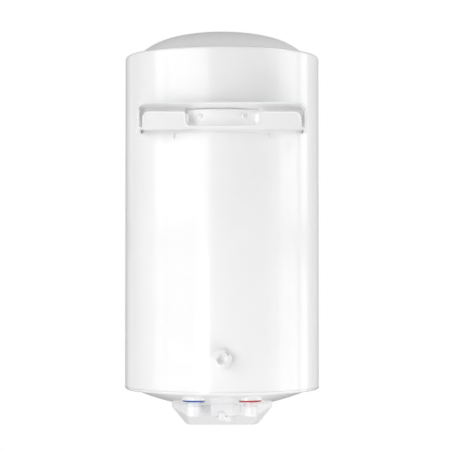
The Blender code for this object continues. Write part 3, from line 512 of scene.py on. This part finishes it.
def ring_seat(x):
    """Level seat over a pipe's ring: a boss under the cap's steep edge, a cup inside its deep part."""
    wall = 0.0018
    seat = RING_HIGH + GAP
    top = seat + SEAT_RISE
    bore = PIPE_R + 0.0008
    centre = hypot(PIPE_X, PIPE_Y)
    rows = [[], [], [], []]
    for px, py, _ in round_ring(1, 0, MEDIUM):
        inward = 0.5 - 0.5 * (px * x + py * PIPE_Y) / centre
        outer = SEAT_R_EDGE + (SEAT_R_DEEP - SEAT_R_EDGE) * min(1, inward / 0.4)
        for row, radius in ((0, outer - wall), (1, outer)):
            spot = (x + px * radius, PIPE_Y + py * radius)
            rows[row].append((*spot, min(base_height(hypot(*spot)) + 0.0004, seat - 0.0001)))
            rows[2 + row].append((*spot, top if row else seat))
    inside = [[(x + px * bore, PIPE_Y + py * bore, z) for px, py, _ in round_ring(1, 0, MEDIUM)]
              for z in (top, seat)]
    return skin([rows[0], rows[1], rows[3]] + inside + [rows[2]], MEDIUM)


def make_bottom_cap():
    """Domed cap with a raised rim, a groove inside it, and the seats of the two rings."""
    rim = JACKET_BOTTOM - GAP
    skirt_r = JACKET_R - JACKET_SHEET - 0.0007
    steps = 24
    radii = [BASE_EDGE_R + (BASE_HOLE_R - BASE_EDGE_R) * i / steps for i in range(steps + 1)]
    rim_line = [(JACKET_R, rim), (JACKET_R, 0.0654), (0.1738, 0.0629), (0.1664, 0.0629)]
    rim_line += [(0.1650, 0.0645), (0.1592, 0.0648), (BASE_EDGE_R, base_height(BASE_EDGE_R))]
    rim_line = rounded(rim_line, [0, 0.0010, 0.0018, 0.0012, 0.0010, 0.0008, 0])
    profile = rim_line + [(r, base_height(r)) for r in radii[1:]]
    profile += [(r, base_height(r) + CAP_WALL) for r in reversed(radii[::3])]
    profile += [(0.1600, 0.0670), (0.1725, 0.0670), (0.1725, 0.0800), (skirt_r, 0.0800), (skirt_r, rim)]
    cap = raw("bottom_dome", lathe(profile, FINE))
    pipes = [(PIPE_X, PIPE_Y), (-PIPE_X, PIPE_Y)]
    screws = [(COVER_SCREW_X, COVER_SCREW_Y), (-COVER_SCREW_X, COVER_SCREW_Y)]
    cut(cap, posts(RING_R + 0.0016, 0.030, RING_HIGH + 2 * GAP, pipes, MEDIUM))
    join(cap, merged([ring_seat(x) for x, y in pipes]))
    cut(cap, posts(PIPE_R + 0.0008, 0.045, 0.070, pipes))
    cut(cap, posts(0.0020, 0.020, 0.050, screws))
    return dress(cap, "white_plastic", "heater_body", "bottom_cap", crease=0.7, look=POLISHED)


# ---------------------------------------------------------------- wall bracket
def arch_outline(top, inset):
    half = BRACKET_HALF - inset
    turn = BRACKET_CORNER - inset
    curve = arc((half - turn, top - inset - turn), turn, 0, pi / 2, 14)
    return [(half, PLATE_LOW)] + curve


def bracket_arch():
    """Top flange and legs, with a rounded front hem and a rounded bend towards the web."""
    loops = []
    sheet = BRACKET_SHEET
    depth = WALL_Y - WEB_BACK
    stations = [(0, 0.0016), (0.0005, 0.0006), (0.0016, 0)]
    stations += [(depth - 0.0010, 0), (depth - 0.0003, 0.0003), (depth, 0.0010)]
    for offset, inset in stations:
        top = BRACKET_TOP - BRACKET_DROP * (1 - offset / depth) - inset
        outer = [(min(x, BRACKET_HALF - inset), z) for x, z in arch_outline(top, 0)]
        inner = [(x + (inset if offset > depth / 2 else 0), z) for x, z in arch_outline(top + inset, sheet)]
        loop = mirrored(outer) + list(reversed(mirrored(inner)))
        loops.append([(x, WEB_BACK + offset, z) for x, z in loop])
    return loft(loops)


def side_wall(side):
    """Upright cheek that runs back from the web until it meets the jacket."""
    x_out = side * (BRACKET_HALF - 0.0002)
    x_in = side * (BRACKET_HALF - BRACKET_SHEET)
    back = sqrt(JACKET_R ** 2 - BRACKET_HALF ** 2) - 0.004
    low, high = PLATE_LOW + 0.0002, BRACKET_TOP - BRACKET_CORNER - BRACKET_DROP
    cheek = box((min(x_in, x_out), back, low), (max(x_in, x_out), WALL_Y - 0.001, high))
    return soften(cheek, 0.0006, 2)


def finger(side):
    """Front strip of a leg, with a rounded tip and a bridge to the plate."""
    half = LEG_WIDTH / 2
    centre = BRACKET_HALF - half
    tip = arc((centre, LEG_TIP + half), half, pi, 2 * pi, 12)
    top = BRACKET_TOP - BRACKET_CORNER
    bridge = [(PLATE_HALF - 0.0005, PLATE_LOW + 0.0037), (PLATE_HALF - 0.0005, PLATE_LOW + 0.0001)]
    outline = [(centre + half, top), (centre - half, top), (centre - half, PLATE_LOW + 0.0037)]
    outline += bridge + [(centre - half, PLATE_LOW + 0.0001)] + tip[1:]
    outline = [(side * x, z) for x, z in outline]
    strip = prism(outline, WALL_Y - BRACKET_SHEET + 0.0002, WALL_Y, "Y")
    return soften(strip, 0.0004, 2, 1.0)


def shoulder_line(inset):
    """Top edge of the stepped plate at X > 0: outer corner, shoulder, upright step, notch."""
    line = arc((PLATE_HALF - SHOULDER_R, SHOULDER_TOP - SHOULDER_R), SHOULDER_R - inset, 0, pi / 2, 14)
    line += arc((STEP_X + STEP_R, SHOULDER_TOP - STEP_R), STEP_R - inset, pi / 2, pi, 12)
    line += arc((STEP_X - NOTCH_R, NOTCH_TOP + NOTCH_R), NOTCH_R + inset, 0, -pi / 2, 14)
    return line


def ribbon(stations, line):
    """Closed strip along the plate's top edge, lofted through (y, outer inset, inner inset, lean)."""
    loops = []
    for y, outer, inner, lean in stations:
        outline = mirrored(line(outer, lean)) + list(reversed(mirrored(line(inner, lean))))
        loops.append([(x, y, z) for x, z in outline])
    return loft(loops)


def plate():
    """Flat tongue that hangs on the hooks; its field lies a little behind the bead."""
    depth = BRACKET_SHEET - BEAD_HEIGHT
    loops = []
    for offset, inset in ((0, 0.0005), (0.0004, 0), (depth, 0)):
        outline = mirrored([(PLATE_HALF - inset, PLATE_LOW + inset)] + shoulder_line(inset))
        loops.append([(x, WALL_Y - BRACKET_SHEET + offset, z) for x, z in outline])
    return loft(loops)


def bead_line(inset, lean):
    """The bead's edge at X > 0; it stands upright, so it has no use for the lean."""
    return [(PLATE_HALF - inset, PLATE_LOW + 0.012)] + shoulder_line(inset)


def plate_bead():
    """Rolled bead that stiffens the plate's top edge."""
    root = WALL_Y - BEAD_HEIGHT - 0.0006
    profile = [(root, 0.0001, 0.0042, 0), (root + 0.0006, 0.0001, 0.0038, 0)]
    profile += [(WALL_Y - 0.0004, 0.0003, 0.0030, 0), (WALL_Y - 0.0001, 0.0007, 0.0024, 0)]
    profile += [(WALL_Y, 0.0012, 0.0018, 0)]
    return ribbon(profile, bead_line)


def lip_line(inset, lean):
    """The plate's edge at X > 0; the step between shoulder and notch leans inwards."""
    middle = (SHOULDER_TOP + NOTCH_TOP) / 2
    reach = (SHOULDER_TOP - NOTCH_TOP) / 2
    line = [(PLATE_HALF - inset, PLATE_LOW + 0.015)]
    for x, z in shoulder_line(inset):
        share = max(0, 1 - ((z - middle) / reach) ** 2) if x < PLATE_HALF / 2 else 0
        line.append((x - lean * share, z))
    return line


def plate_lip():
    """Strip along the plate's top edge, bent back towards the heater."""
    back = WALL_Y - LIP_DEPTH
    profile = [(WALL_Y - 0.0012, 0.0001, LIP_SHEET, 0), (WALL_Y - 0.0030, 0.0001, LIP_SHEET, LIP_LEAN * 0.15)]
    profile += [(back + 0.0006, 0.0001, LIP_SHEET, LIP_LEAN * 0.9)]
    profile += [(back, 0.0006, LIP_SHEET - 0.0005, LIP_LEAN)]
    return ribbon(profile, lip_line)


def make_bracket():
    bracket = raw("bracket_pressing", bracket_arch())
    for side in (1, -1):
        inner, outer = side * WEB_INNER, side * (BRACKET_HALF - 0.001)
        web = box((min(inner, outer), WEB_BACK, PLATE_LOW + 0.0005),
                  (max(inner, outer), WEB_FRONT - 0.0001, BRACKET_TOP - 0.0085))
        join(bracket, soften(web, 0.0007, 2))
        join(bracket, side_wall(side))
        join(bracket, finger(side))
    join(bracket, plate())
    join(bracket, plate_lip())
    join(bracket, plate_bead())
    clear = JACKET_R + 0.0005
    cut(bracket, lathe([(0, 0.40), (clear, 0.40), (clear, 0.62), (0, 0.62)], FINE))
    return dress(bracket, "white_enamelled_steel", "heater_body", "wall_bracket")


def strap(start, end, radius, sheet, low, high):
    """Curved strip that hugs the jacket between two X positions."""
    ends = [atan2(x, sqrt(radius ** 2 - x * x)) for x in (start, end)]
    steps = max(4, round(abs(ends[1] - ends[0]) / 0.02))
    turns = [pi / 2 - (ends[0] + (ends[1] - ends[0]) * i / steps) for i in range(steps + 1)]
    outline = [(radius * cos(a), radius * sin(a)) for a in turns]
    outline += [((radius + sheet) * cos(a), (radius + sheet) * sin(a)) for a in reversed(turns)]
    return prism(outline, low, high)


def radial(x, reach):
    """Spot and turn of a piece whose +Z points straight out of the jacket at this X."""
    angle = atan2(x, sqrt(JACKET_R ** 2 - x * x))
    return (sin(angle) * reach, cos(angle) * reach), (-pi / 2, 0, -angle)


def make_saddle():
    """Curved strap screwed to the jacket, with a short fin at each end."""
    body = strap(-SADDLE_HALF, SADDLE_HALF, SADDLE_R, SADDLE_SHEET, SADDLE_LOW, SADDLE_HIGH)
    saddle = raw("saddle_strap", soften(body, 0.0006, 2, 1.0))
    for side in (1, -1):
        fin = strap(side * (SADDLE_HALF - 0.0028), side * SADDLE_HALF, SADDLE_R + 0.0001,
                    SADDLE_SHEET - 0.0002, SADDLE_FIN, SADDLE_LOW + 0.003)
        join(saddle, soften(fin, 0.0006, 2, 1.0))
    for x in (BRACKET_SCREW_X, -BRACKET_SCREW_X):
        spot, turn = radial(x, SADDLE_R)
        bore = lathe([(0, -0.004), (0.0024, -0.004), (0.0024, 0.008), (0, 0.008)], SMALL)
        cut(saddle, bore, (*spot, BRACKET_SCREW_Z), turn)
    return dress(saddle, "white_enamelled_steel", "heater_body", "bracket_saddle")


def make_screw(name, node, at, turn, head_r, head, shank_r, length):
    """Pan-head screw with a cross recess and a ridged shank; +Z leaves through the head."""
    quarter = [pi / 2 * i / 10 for i in range(10)]
    top = [(head_r * cos(a), head * 0.40 + head * 0.60 * sin(a)) for a in quarter]
    pitch = shank_r * 0.7
    shank = [(shank_r * 0.3, -length)]
    turns = int(length * 0.92 / pitch)
    for i in range(turns):
        z = -length + 0.0008 + i * pitch
        shank += [(shank_r * 0.78, z), (shank_r, z + pitch * 0.35), (shank_r, z + pitch * 0.45)]
    profile = [(0, -length)] + shank + [(shank_r * 0.85, 0), (head_r - 0.0003, 0), (head_r, 0.0003)] + top
    screw = raw(name, lathe(profile + [(0, head)], SMALL), at, turn)
    reach, half = head_r * 0.50, head_r * 0.13
    corners = ((-1, -1), (1, -1), (1, 1), (-1, 1))
    for size in ((reach, half), (half, reach)):
        arm = loft([[(sx * size[0] * k, sy * size[1] * k, z) for sx, sy in corners]
                    for k, z in ((0.55, head * 0.35), (1.0, head + 0.0006))])
        cut(screw, arm, at, turn)
    return dress(screw, "zinc_screws", "heater_body", node)


def make_bracket_screws():
    for node, x in (("bracket_screw_left", -BRACKET_SCREW_X), ("bracket_screw_right", BRACKET_SCREW_X)):
        spot, turn = radial(x, SADDLE_R + SADDLE_SHEET + GAP)
        make_screw(node + "_head", node, (*spot, BRACKET_SCREW_Z), turn, 0.0044, 0.0026, 0.0020, 0.014)


# ---------------------------------------------------------------- wall stand-off foot
def make_foot():
    """Fixed bush, eared knob on its stem, and the soft pad against the wall."""
    turn = (-pi / 2, 0, 0)
    at = (0, 0, FOOT_Z)
    start = JACKET_R + 0.0007
    base = [(BUSH_BORE, start), (0.0170, start), (0.0170, start + 0.0014), (0.0155, start + 0.0024)]
    base += [(0.0106, start + 0.0027), (0.0098, start + 0.0038), (0.0098, BUSH_END), (BUSH_BORE, BUSH_END)]
    bush = raw("foot_bush", lathe(rounded(base, 0.0006, closed=True), MEDIUM), at, turn)
    dress(bush, "white_plastic", "heater_body", "foot_base", crease=0.9)

    body = [(0, start + 0.0005), (FOOT_STEM_R, start + 0.0005), (FOOT_STEM_R, FOOT_BACK)]
    body += [(FOOT_R, FOOT_BACK)]
    body += [(FOOT_R, FOOT_FRONT), (0, FOOT_FRONT)]
    body = rounded(body, [0, 0.0004, 0.0003, 0.0008, 0.0006, 0])
    knob = raw("foot_knob_body", lathe(body, MEDIUM), at, turn)
    reach, half = FOOT_EAR_R, FOOT_EAR_HALF
    ears = [(reach, -half), (reach, half), (half, half), (half, reach), (-half, reach), (-half, half)]
    ears += [(-reach, half), (-reach, -half), (-half, -half), (-half, -reach), (half, -reach), (half, -half)]
    radii = [0.0014, 0.0014, 0.0004] * 4
    ears = rounded(ears, radii, 4, closed=True)
    cross = soften(prism(ears, FOOT_BACK + 0.0012, FOOT_FRONT - 0.0010), 0.0006, 2, 1.0)
    join(knob, cross, at, turn)
    recess = [(0, FOOT_RECESS), (0.00425, FOOT_RECESS), (0.00425, 0.1930), (0.0060, 0.1932), (0.0094, 0.2010)]
    cut(knob, lathe(rounded(recess, [0, 0, 0.0004, 0.0006, 0]) + [(0, 0.2010)], MEDIUM), at, turn)
    dress(knob, "white_plastic", "foot_screw", "foot_knob")

    low = FOOT_FRONT + GAP
    pad = [(0.0094, low), (FOOT_R, low), (FOOT_R, WALL_Y), (0.0094, WALL_Y)]
    ring = raw("foot_pad_ring", lathe(rounded(pad, 0.0005, closed=True), MEDIUM), at, turn)
    dress(ring, "white_plastic", "foot_carrier", "foot_pad", crease=0.9)


# ---------------------------------------------------------------- water connections
def threaded_pipe(top):
    """Pipe whose lower end carries a real helical thread."""
    sides = SMALL
    per_turn = 6
    rows = []
    count = int((THREAD_TOP - PIPE_END) / THREAD_PITCH * per_turn)
    rows.append(round_ring(PIPE_BORE, PIPE_END, sides))
    for k in range(count + 1):
        ring = []
        for i in range(sides):
            turn = 2 * pi * i / sides
            z = PIPE_END + THREAD_PITCH * k / per_turn
            phase = (k / per_turn - i / sides) % 1.0
            depth = THREAD_DEPTH * abs(2 * phase - 1)
            lead_in = max(0.0, 1 - k / per_turn) * 0.0006
            radius = PIPE_R - max(depth, lead_in)
            ring.append((radius * cos(turn), radius * sin(turn), z))
        rows.append(ring)
    rows.append(round_ring(PIPE_R - THREAD_DEPTH, THREAD_TOP + 0.0004, sides))
    rows.append(round_ring(PIPE_R, THREAD_TOP + 0.0010, sides))
    rows += [round_ring(PIPE_R, top, sides), round_ring(PIPE_BORE, top, sides)]
    return skin(rows, sides)


def make_connection(label, body, x):
    """Threaded pipe with its coloured ring and its push-on thread cap."""
    at = (x, PIPE_Y, 0)
    pipe = raw(label + "_threaded_pipe", threaded_pipe(corner(label + "_pipe").z), at)
    dress(pipe, "plain_steel", "heater_body", label + "_pipe", crease=0.7)
    hole = PIPE_R + GAP
    outline = [(hole, RING_LOW), (RING_R, RING_LOW), (RING_R, RING_HIGH), (hole, RING_HIGH)]
    outline = rounded(outline, [0.0003, 0.0005, 0.0003, 0.0003], 4, True)
    ring = raw(label + "_colour_ring", lathe(outline, MEDIUM), at)
    dress(ring, {"inlet": "blue_plastic", "outlet": "red_plastic"}[label], "heater_body", label + "_ring",
          crease=0.9)
    flange = THREAD_CAP_R + 0.0007
    cap = [(0, THREAD_CAP_LOW), (THREAD_CAP_R, THREAD_CAP_LOW), (THREAD_CAP_R, THREAD_CAP_FLANGE - 0.0016)]
    cap += [(flange, THREAD_CAP_FLANGE - 0.0012), (flange, THREAD_CAP_FLANGE)]
    cap += [(THREAD_CAP_NECK_R, THREAD_CAP_FLANGE), (THREAD_CAP_NECK_R, THREAD_CAP_HIGH)]
    cap += [(hole, THREAD_CAP_HIGH), (hole, PIPE_END - GAP), (0, PIPE_END - GAP)]
    cap = rounded(cap, [0, 0.0010, 0.0003, 0.0003, 0.0003, 0.0003, 0.0002, 0.0002, 0, 0], 4)
    plug = raw(label + "_cap_shell", lathe(cap, MEDIUM), at)
    dress(plug, "white_plastic", body, label + "_thread_cap", crease=0.9)


# ---------------------------------------------------------------- electrics cover
def carve(bm, point, normal):
    """Cut away what lies outside a plane and close the cut."""
    geometry = bm.verts[:] + bm.edges[:] + bm.faces[:]
    result = bmesh.ops.bisect_plane(bm, geom=geometry, plane_co=point, plane_no=normal, clear_outer=True)
    edges = [item for item in result["geom_cut"] if isinstance(item, bmesh.types.BMEdge)]
    bmesh.ops.edgeloop_fill(bm, edges=edges)


def cover_block(inset):
    """Faceted body of the cover as a solid, every face moved inwards by the inset."""
    bm = box((-0.2, -0.2, -0.1), (0.2, 0.2, 0.070))
    faces = [((0, 0, 0), (0, 0, -1)), ((0, COVER_REAR, 0), (0, 1, 0)), ((0, COVER_FRONT, 0), (0, -1, 0))]
    rise = COVER_REAR - COVER_REAR_FOOT
    faces.append(((0, COVER_REAR_FOOT, 0), (0, COVER_REAR_LOW, -rise)))
    for side in (1, -1):
        wing = Vector((side * COVER_HALF, COVER_WING_Y, COVER_SLOPE_TOP))
        edge = Vector((side * COVER_REAR_HALF, COVER_REAR, COVER_REAR_LOW))
        foot = Vector((side * COVER_CORNER_FOOT, COVER_REAR_FOOT, 0))
        facet = (edge - wing).cross(foot - wing) * side
        run = COVER_HALF - COVER_FOOT_HALF
        faces.append((wing, (side, 0, 0)))
        faces.append((wing, (side * (COVER_REAR - COVER_WING_Y), COVER_HALF - COVER_REAR_HALF, 0)))
        faces.append((wing, (side * COVER_SLOPE_TOP, 0, -run)))
        faces.append((wing, facet))
        faces.append(((side * COVER_FRONT_HALF, COVER_FRONT, 0),
                      (side * (COVER_FRONT_SIDE - COVER_FRONT), COVER_FRONT_HALF - COVER_HALF, 0)))
    for point, normal in faces:
        outward = Vector(normal).normalized()
        if outward.z > 0 and abs(outward.z) < 1:
            outward = -outward
        carve(bm, Vector(point) - outward * inset, outward)
    return bm


def duct_block(inset, low, high):
    """Cable duct that stands out of the cover's rear wall between the two pipes."""
    half, back = DUCT_HALF - inset * 0.8, DUCT_BACK - inset
    flank = DUCT_FLANK_HALF - inset * 1.1
    outline = [(half, back), (flank, DUCT_FLANK_Y - inset * 0.5), (flank + 0.001, COVER_REAR - 0.004 - inset)]
    return prism(mirrored(outline), low, high)


def make_cover():
    """Thin faceted tub under the bottom cap, with the cable duct and a front fascia."""
    cover = raw("cover_tub", soften(cover_block(0), 0.0016, 4, 0.12))
    join(cover, soften(duct_block(0, DUCT_LOW, 0.066), 0.0010, 3, 0.4))
    cut(cover, cover_block(COVER_WALL))
    cut(cover, duct_block(COVER_WALL, DUCT_LOW + COVER_WALL, 0.067))
    spots = [(COVER_SCREW_X, COVER_SCREW_Y), (-COVER_SCREW_X, COVER_SCREW_Y)]
    join(cover, posts(WELL_R + WELL_WALL, 0.0010, 0.0400, spots))
    cut(cover, posts(WELL_R, -0.0020, COVER_SCREW_SEAT, spots))
    cut(cover, posts(0.0024, COVER_SCREW_SEAT - 0.001, 0.0420, spots))
    steps = 14
    roof = [(0.150 * i / steps, base_height(0.150 * i / steps) - 0.0001) for i in range(steps + 1)]
    cut(cover, lathe(roof + [(0.150, 0.090), (0, 0.090)], MEDIUM))
    for x, radius in ((0, 0.0045), (LAMP_X, 0.0043)):
        hole = lathe([(0, -0.006), (radius, -0.006), (radius, 0.006), (0, 0.006)], SMALL)
        cut(cover, hole, (x, COVER_FRONT, KNOB_Z), (pi / 2, 0, 0))
    cut(cover, posts(0.0062, DUCT_LOW - 0.004, 0.028, [(0, GROMMET_Y)]))
    return dress(cover, "white_plastic", "heater_body", "electrics_cover", crease=0.4)


def make_cable_entry():
    """Grommet in the duct's floor, the clamp plate behind it and its screw."""
    low = DUCT_LOW - 0.0016 - GAP
    top = DUCT_LOW + COVER_WALL
    ring = [(0.0042, low), (0.0084, low), (0.0084, DUCT_LOW - GAP), (0.0059, DUCT_LOW - GAP)]
    ring += [(0.0059, top + GAP), (0.0078, top + GAP), (0.0074, top + 0.0016), (0.0042, top + 0.0016)]
    grommet = raw("grommet_ring", lathe(rounded(ring, 0.0004, closed=True), MEDIUM), (0, GROMMET_Y, 0))
    dress(grommet, "rubber", "heater_body", "cable_grommet", crease=0.9)
    face = DUCT_BACK + GAP
    outline = [(0.0068, 0.0141), (0.0068, 0.0285), (-0.0062, 0.0285), (-0.0062, 0.0200), (-0.0160, 0.0200)]
    outline += [(-0.0160, 0.0116), (-0.0062, 0.0116), (-0.0062, 0.0141)]
    outline = rounded(outline, 0.0010, 4, closed=True)
    clamp = raw("clamp_plate", soften(prism(outline, face, face + CLAMP_SHEET, "Y"), 0.0003, 2, 1.0))
    bore = lathe([(0, -0.004), (0.0022, -0.004), (0.0022, 0.006), (0, 0.006)], SMALL)
    cut(clamp, bore, (0, DUCT_BACK, CLAMP_SCREW_Z), (-pi / 2, 0, 0))
    dress(clamp, "white_enamelled_steel", "heater_body", "cable_clamp")
    spot = (0, face + CLAMP_SHEET + GAP, CLAMP_SCREW_Z)
    make_screw("clamp_screw_head", "clamp_screw", spot, (-pi / 2, 0, 0),
               0.0038, 0.0022, 0.0015, 0.007)


def make_cover_screws():
    for node, x in (("cover_screw_left", COVER_SCREW_X), ("cover_screw_right", -COVER_SCREW_X)):
        make_screw(node + "_head", node, (x, COVER_SCREW_Y, COVER_SCREW_SEAT - GAP), (pi, 0, 0),
                   0.0045, 0.0026, 0.0016, 0.016)


# ---------------------------------------------------------------- controls
def make_knob():
    """Temperature knob: skirt with a ribbed edge, a waisted grip and a pointer groove."""
    turn = (pi / 2, 0, 0)
    at = (0, COVER_FRONT, KNOB_Z)
    skirt = [(0, 0.0006), (KNOB_R, 0.0006), (KNOB_R, 0.0040), (KNOB_R - 0.0015, 0.0055), (0.0125, 0.0060)]
    skirt = rounded(skirt + [(0, 0.0060)], [0, 0.0004, 0.0008, 0.0008, 0.0008, 0])
    knob = raw("dial_knob", lathe(skirt, MEDIUM), at, turn)
    side = [(KNOB_GRIP_HALF - 0.0007 * cos(pi * i / 12 - pi / 2), -0.0128 + 0.0256 * i / 12)
            for i in range(13)]
    grip = soften(prism(mirrored(side), 0.004, KNOB_DEPTH), 0.0009, 3, 0.9)
    join(knob, grip, at, turn)
    groove = box((-0.0005, 0.0040, KNOB_DEPTH - 0.0005), (0.0005, 0.0124, KNOB_DEPTH + 0.001))
    groove = soften(groove, 0.0002, 2)
    cut(knob, groove, at, turn)
    ribs = 40
    notches = [(KNOB_R * cos(2 * pi * i / ribs), KNOB_R * sin(2 * pi * i / ribs)) for i in range(ribs)]
    cut(knob, posts(0.0004, 0.0010, 0.0038, notches, 8), at, turn)
    socket = lathe([(0, -0.001), (0.0033, -0.001), (0.0033, 0.0100), (0, 0.0100)], SMALL)
    cut(knob, socket, at, turn)
    return dress(knob, "white_plastic", "thermostat_dial", "temperature_knob")


def make_lamp():
    """Domed lens of the pilot lamp."""
    dome = [(0.0052 * cos(a), 0.0008 + 0.0020 * sin(a)) for a in [pi / 2 * i / 12 for i in range(12)]]
    lens = [(0, -0.0040), (0.0040, -0.0040), (0.0040, GAP), (0.0055, GAP), (0.0055, 0.0007)] + dome
    lens = raw("lamp_dome", lathe(lens + [(0, 0.0028)], SMALL), (LAMP_X, COVER_FRONT, KNOB_Z), (pi / 2, 0, 0))
    return dress(lens, "lamp_lens", "heater_body", "pilot_lamp_lens", crease=0.7)


def finish_hidden_nodes():
    """Better materials on the CAD pieces that stay as they are."""
    slots = {part["node"]: part["material_slot"] for part in frame["record"]["subparts"]}
    for name, node in frame["nodes"].items():
        if node.hide_render:
            continue
        node.data.materials.clear()
        node.data.materials.append(MATERIALS[slots[name]])


# ---------------------------------------------------------------- studio
EYE = Vector((0, 3.053, 0.278))      # camera, in the heater's coordinates
LENS = 133.5
SENSOR = 36.0
PITCH_UP = radians(1.562)
PAN_RIGHT = radians(0.103)
FLOOR_DROP = 1.40
FLOOR_GLOW = 0.52


def make_camera():
    data = bpy.data.cameras.new("camera")
    data.lens = LENS
    data.sensor_width = SENSOR
    data.clip_start = 0.05
    data.clip_end = 100
    camera = bpy.data.objects.new("camera", data)
    bpy.context.scene.collection.objects.link(camera)
    camera.location = HEATER + EYE
    camera.rotation_euler = (pi / 2 + PITCH_UP, 0, pi - PAN_RIGHT)
    bpy.context.scene.camera = camera


def softbox(name, azimuth, elevation, width, height, strength, distance=2.4):
    """Area light aimed at the heater; azimuth 0 is the camera's side and + is towards +X.

    strength is the light's radiance, so that a larger box gives more light.
    """
    data = bpy.data.lights.new(name, "AREA")
    data.shape = "RECTANGLE"
    data.size = width
    data.size_y = height
    data.energy = strength * width * height * pi
    light = bpy.data.objects.new(name, data)
    bpy.context.scene.collection.objects.link(light)
    a, e = radians(azimuth), radians(elevation)
    away = Vector((sin(a) * cos(e), cos(a) * cos(e), sin(e)))
    light.location = HEATER + Vector((0, 0, 0.36)) + away * distance
    light.rotation_euler = away.to_track_quat("Z", "Y").to_euler()
    light.visible_camera = False
    return light


WORLD_LEVEL = 0.37
UP, DOWN = 14, -13               # elevations of the two rows of upright strips
STRIP_HEIGHT = 1.05
# The strengths below and WORLD_LEVEL come from a least-squares fit, scaled and rounded; only
# those of low_middle and side_top were then set one by one.
STRIPS = [                       # azimuths, strength of the upper row, strength of the lower row
    ("edge", (20,), 2.10, 6.00),
    ("key", (30, 40, 50, 60, 75), 2.20, 1.04),
    ("fill", (-60,), 0.62, 0.62),
    ("right", (-75, -90, -110), 1.80, 1.60),
    ("rear", (135,), 0.38, 0.38),
]
PANELS = [                       # azimuth, elevation, width, height, strength, distance
    ("low_right", -50, -38, 0.8, 0.7, 2.00, 1.7),
    ("low_middle", -15, -38, 0.8, 0.7, 1.20, 1.7),
    ("side_top", -90, 50, 1.0, 1.0, 3.60, 2.4),
]


def make_lights():
    """Upright strips in two rows round the heater, and three panels."""
    for name, azimuths, upper, lower in STRIPS:
        for azimuth in azimuths:
            width = 0.42 if abs(azimuth) <= 60 else 0.60
            softbox(name + "_upper_" + str(azimuth), azimuth, UP, width, STRIP_HEIGHT, upper)
            softbox(name + "_lower_" + str(azimuth), azimuth, DOWN, width, STRIP_HEIGHT, lower)
    for panel in PANELS:
        softbox(*panel)


def make_world():
    """White to the eye, and a weaker white as light."""
    world = bpy.data.worlds.new("studio")
    world.use_nodes = True
    bpy.context.scene.world = world
    tree = world.node_tree
    glow = tree.nodes["Background"]
    glow.inputs["Color"].default_value = (1, 1, 1, 1)
    glow.inputs["Strength"].default_value = WORLD_LEVEL
    seen = tree.nodes.new("ShaderNodeBackground")
    seen.inputs["Color"].default_value = (1, 1, 1, 1)
    seen.inputs["Strength"].default_value = 1.0
    path = tree.nodes.new("ShaderNodeLightPath")
    mix = tree.nodes.new("ShaderNodeMixShader")
    tree.links.new(path.outputs["Is Camera Ray"], mix.inputs["Fac"])
    tree.links.new(glow.outputs["Background"], mix.inputs[1])
    tree.links.new(seen.outputs["Background"], mix.inputs[2])
    tree.links.new(mix.outputs["Shader"], tree.nodes["World Output"].inputs["Surface"])


def brighten(material, level):
    """Make a surface paler to the eye, without the light that this would throw on the heater."""
    tree = material.node_tree
    shader = tree.nodes["Principled BSDF"]
    path = tree.nodes.new("ShaderNodeLightPath")
    glow = tree.nodes.new("ShaderNodeMath")
    glow.operation = "MULTIPLY"
    glow.inputs[1].default_value = level
    tree.links.new(path.outputs["Is Camera Ray"], glow.inputs[0])
    tree.links.new(glow.outputs["Value"], shader.inputs["Emission Strength"])
    shader.inputs["Emission Color"].default_value = (1, 1, 1, 1)


def make_floor():
    """Plain pale floor below the hanging heater."""
    floor = raw("studio_floor", posts(6.0, -FLOOR_DROP - 0.01, -FLOOR_DROP, [(0, 0)], FINE))
    material = surface("floor_paint", ((0.93, 0.93, 0.93), (0.92, 0.92, 0.92)), (0.7, 0.8), 3, 0.0001)
    brighten(material, FLOOR_GLOW)
    floor.data.materials.append(material)


def main():
    make_camera()
    make_jacket()
    make_top_cap()
    make_bottom_cap()
    make_bracket()
    make_saddle()
    make_bracket_screws()
    make_foot()
    make_connection("inlet", "cold_cap", PIPE_X)
    make_connection("outlet", "hot_cap", -PIPE_X)
    make_cover()
    make_cable_entry()
    make_cover_screws()
    make_knob()
    make_lamp()
    finish_hidden_nodes()
    make_world()
    make_lights()
    make_floor()
    bpy.context.scene.view_settings.view_transform = "Standard"


main()
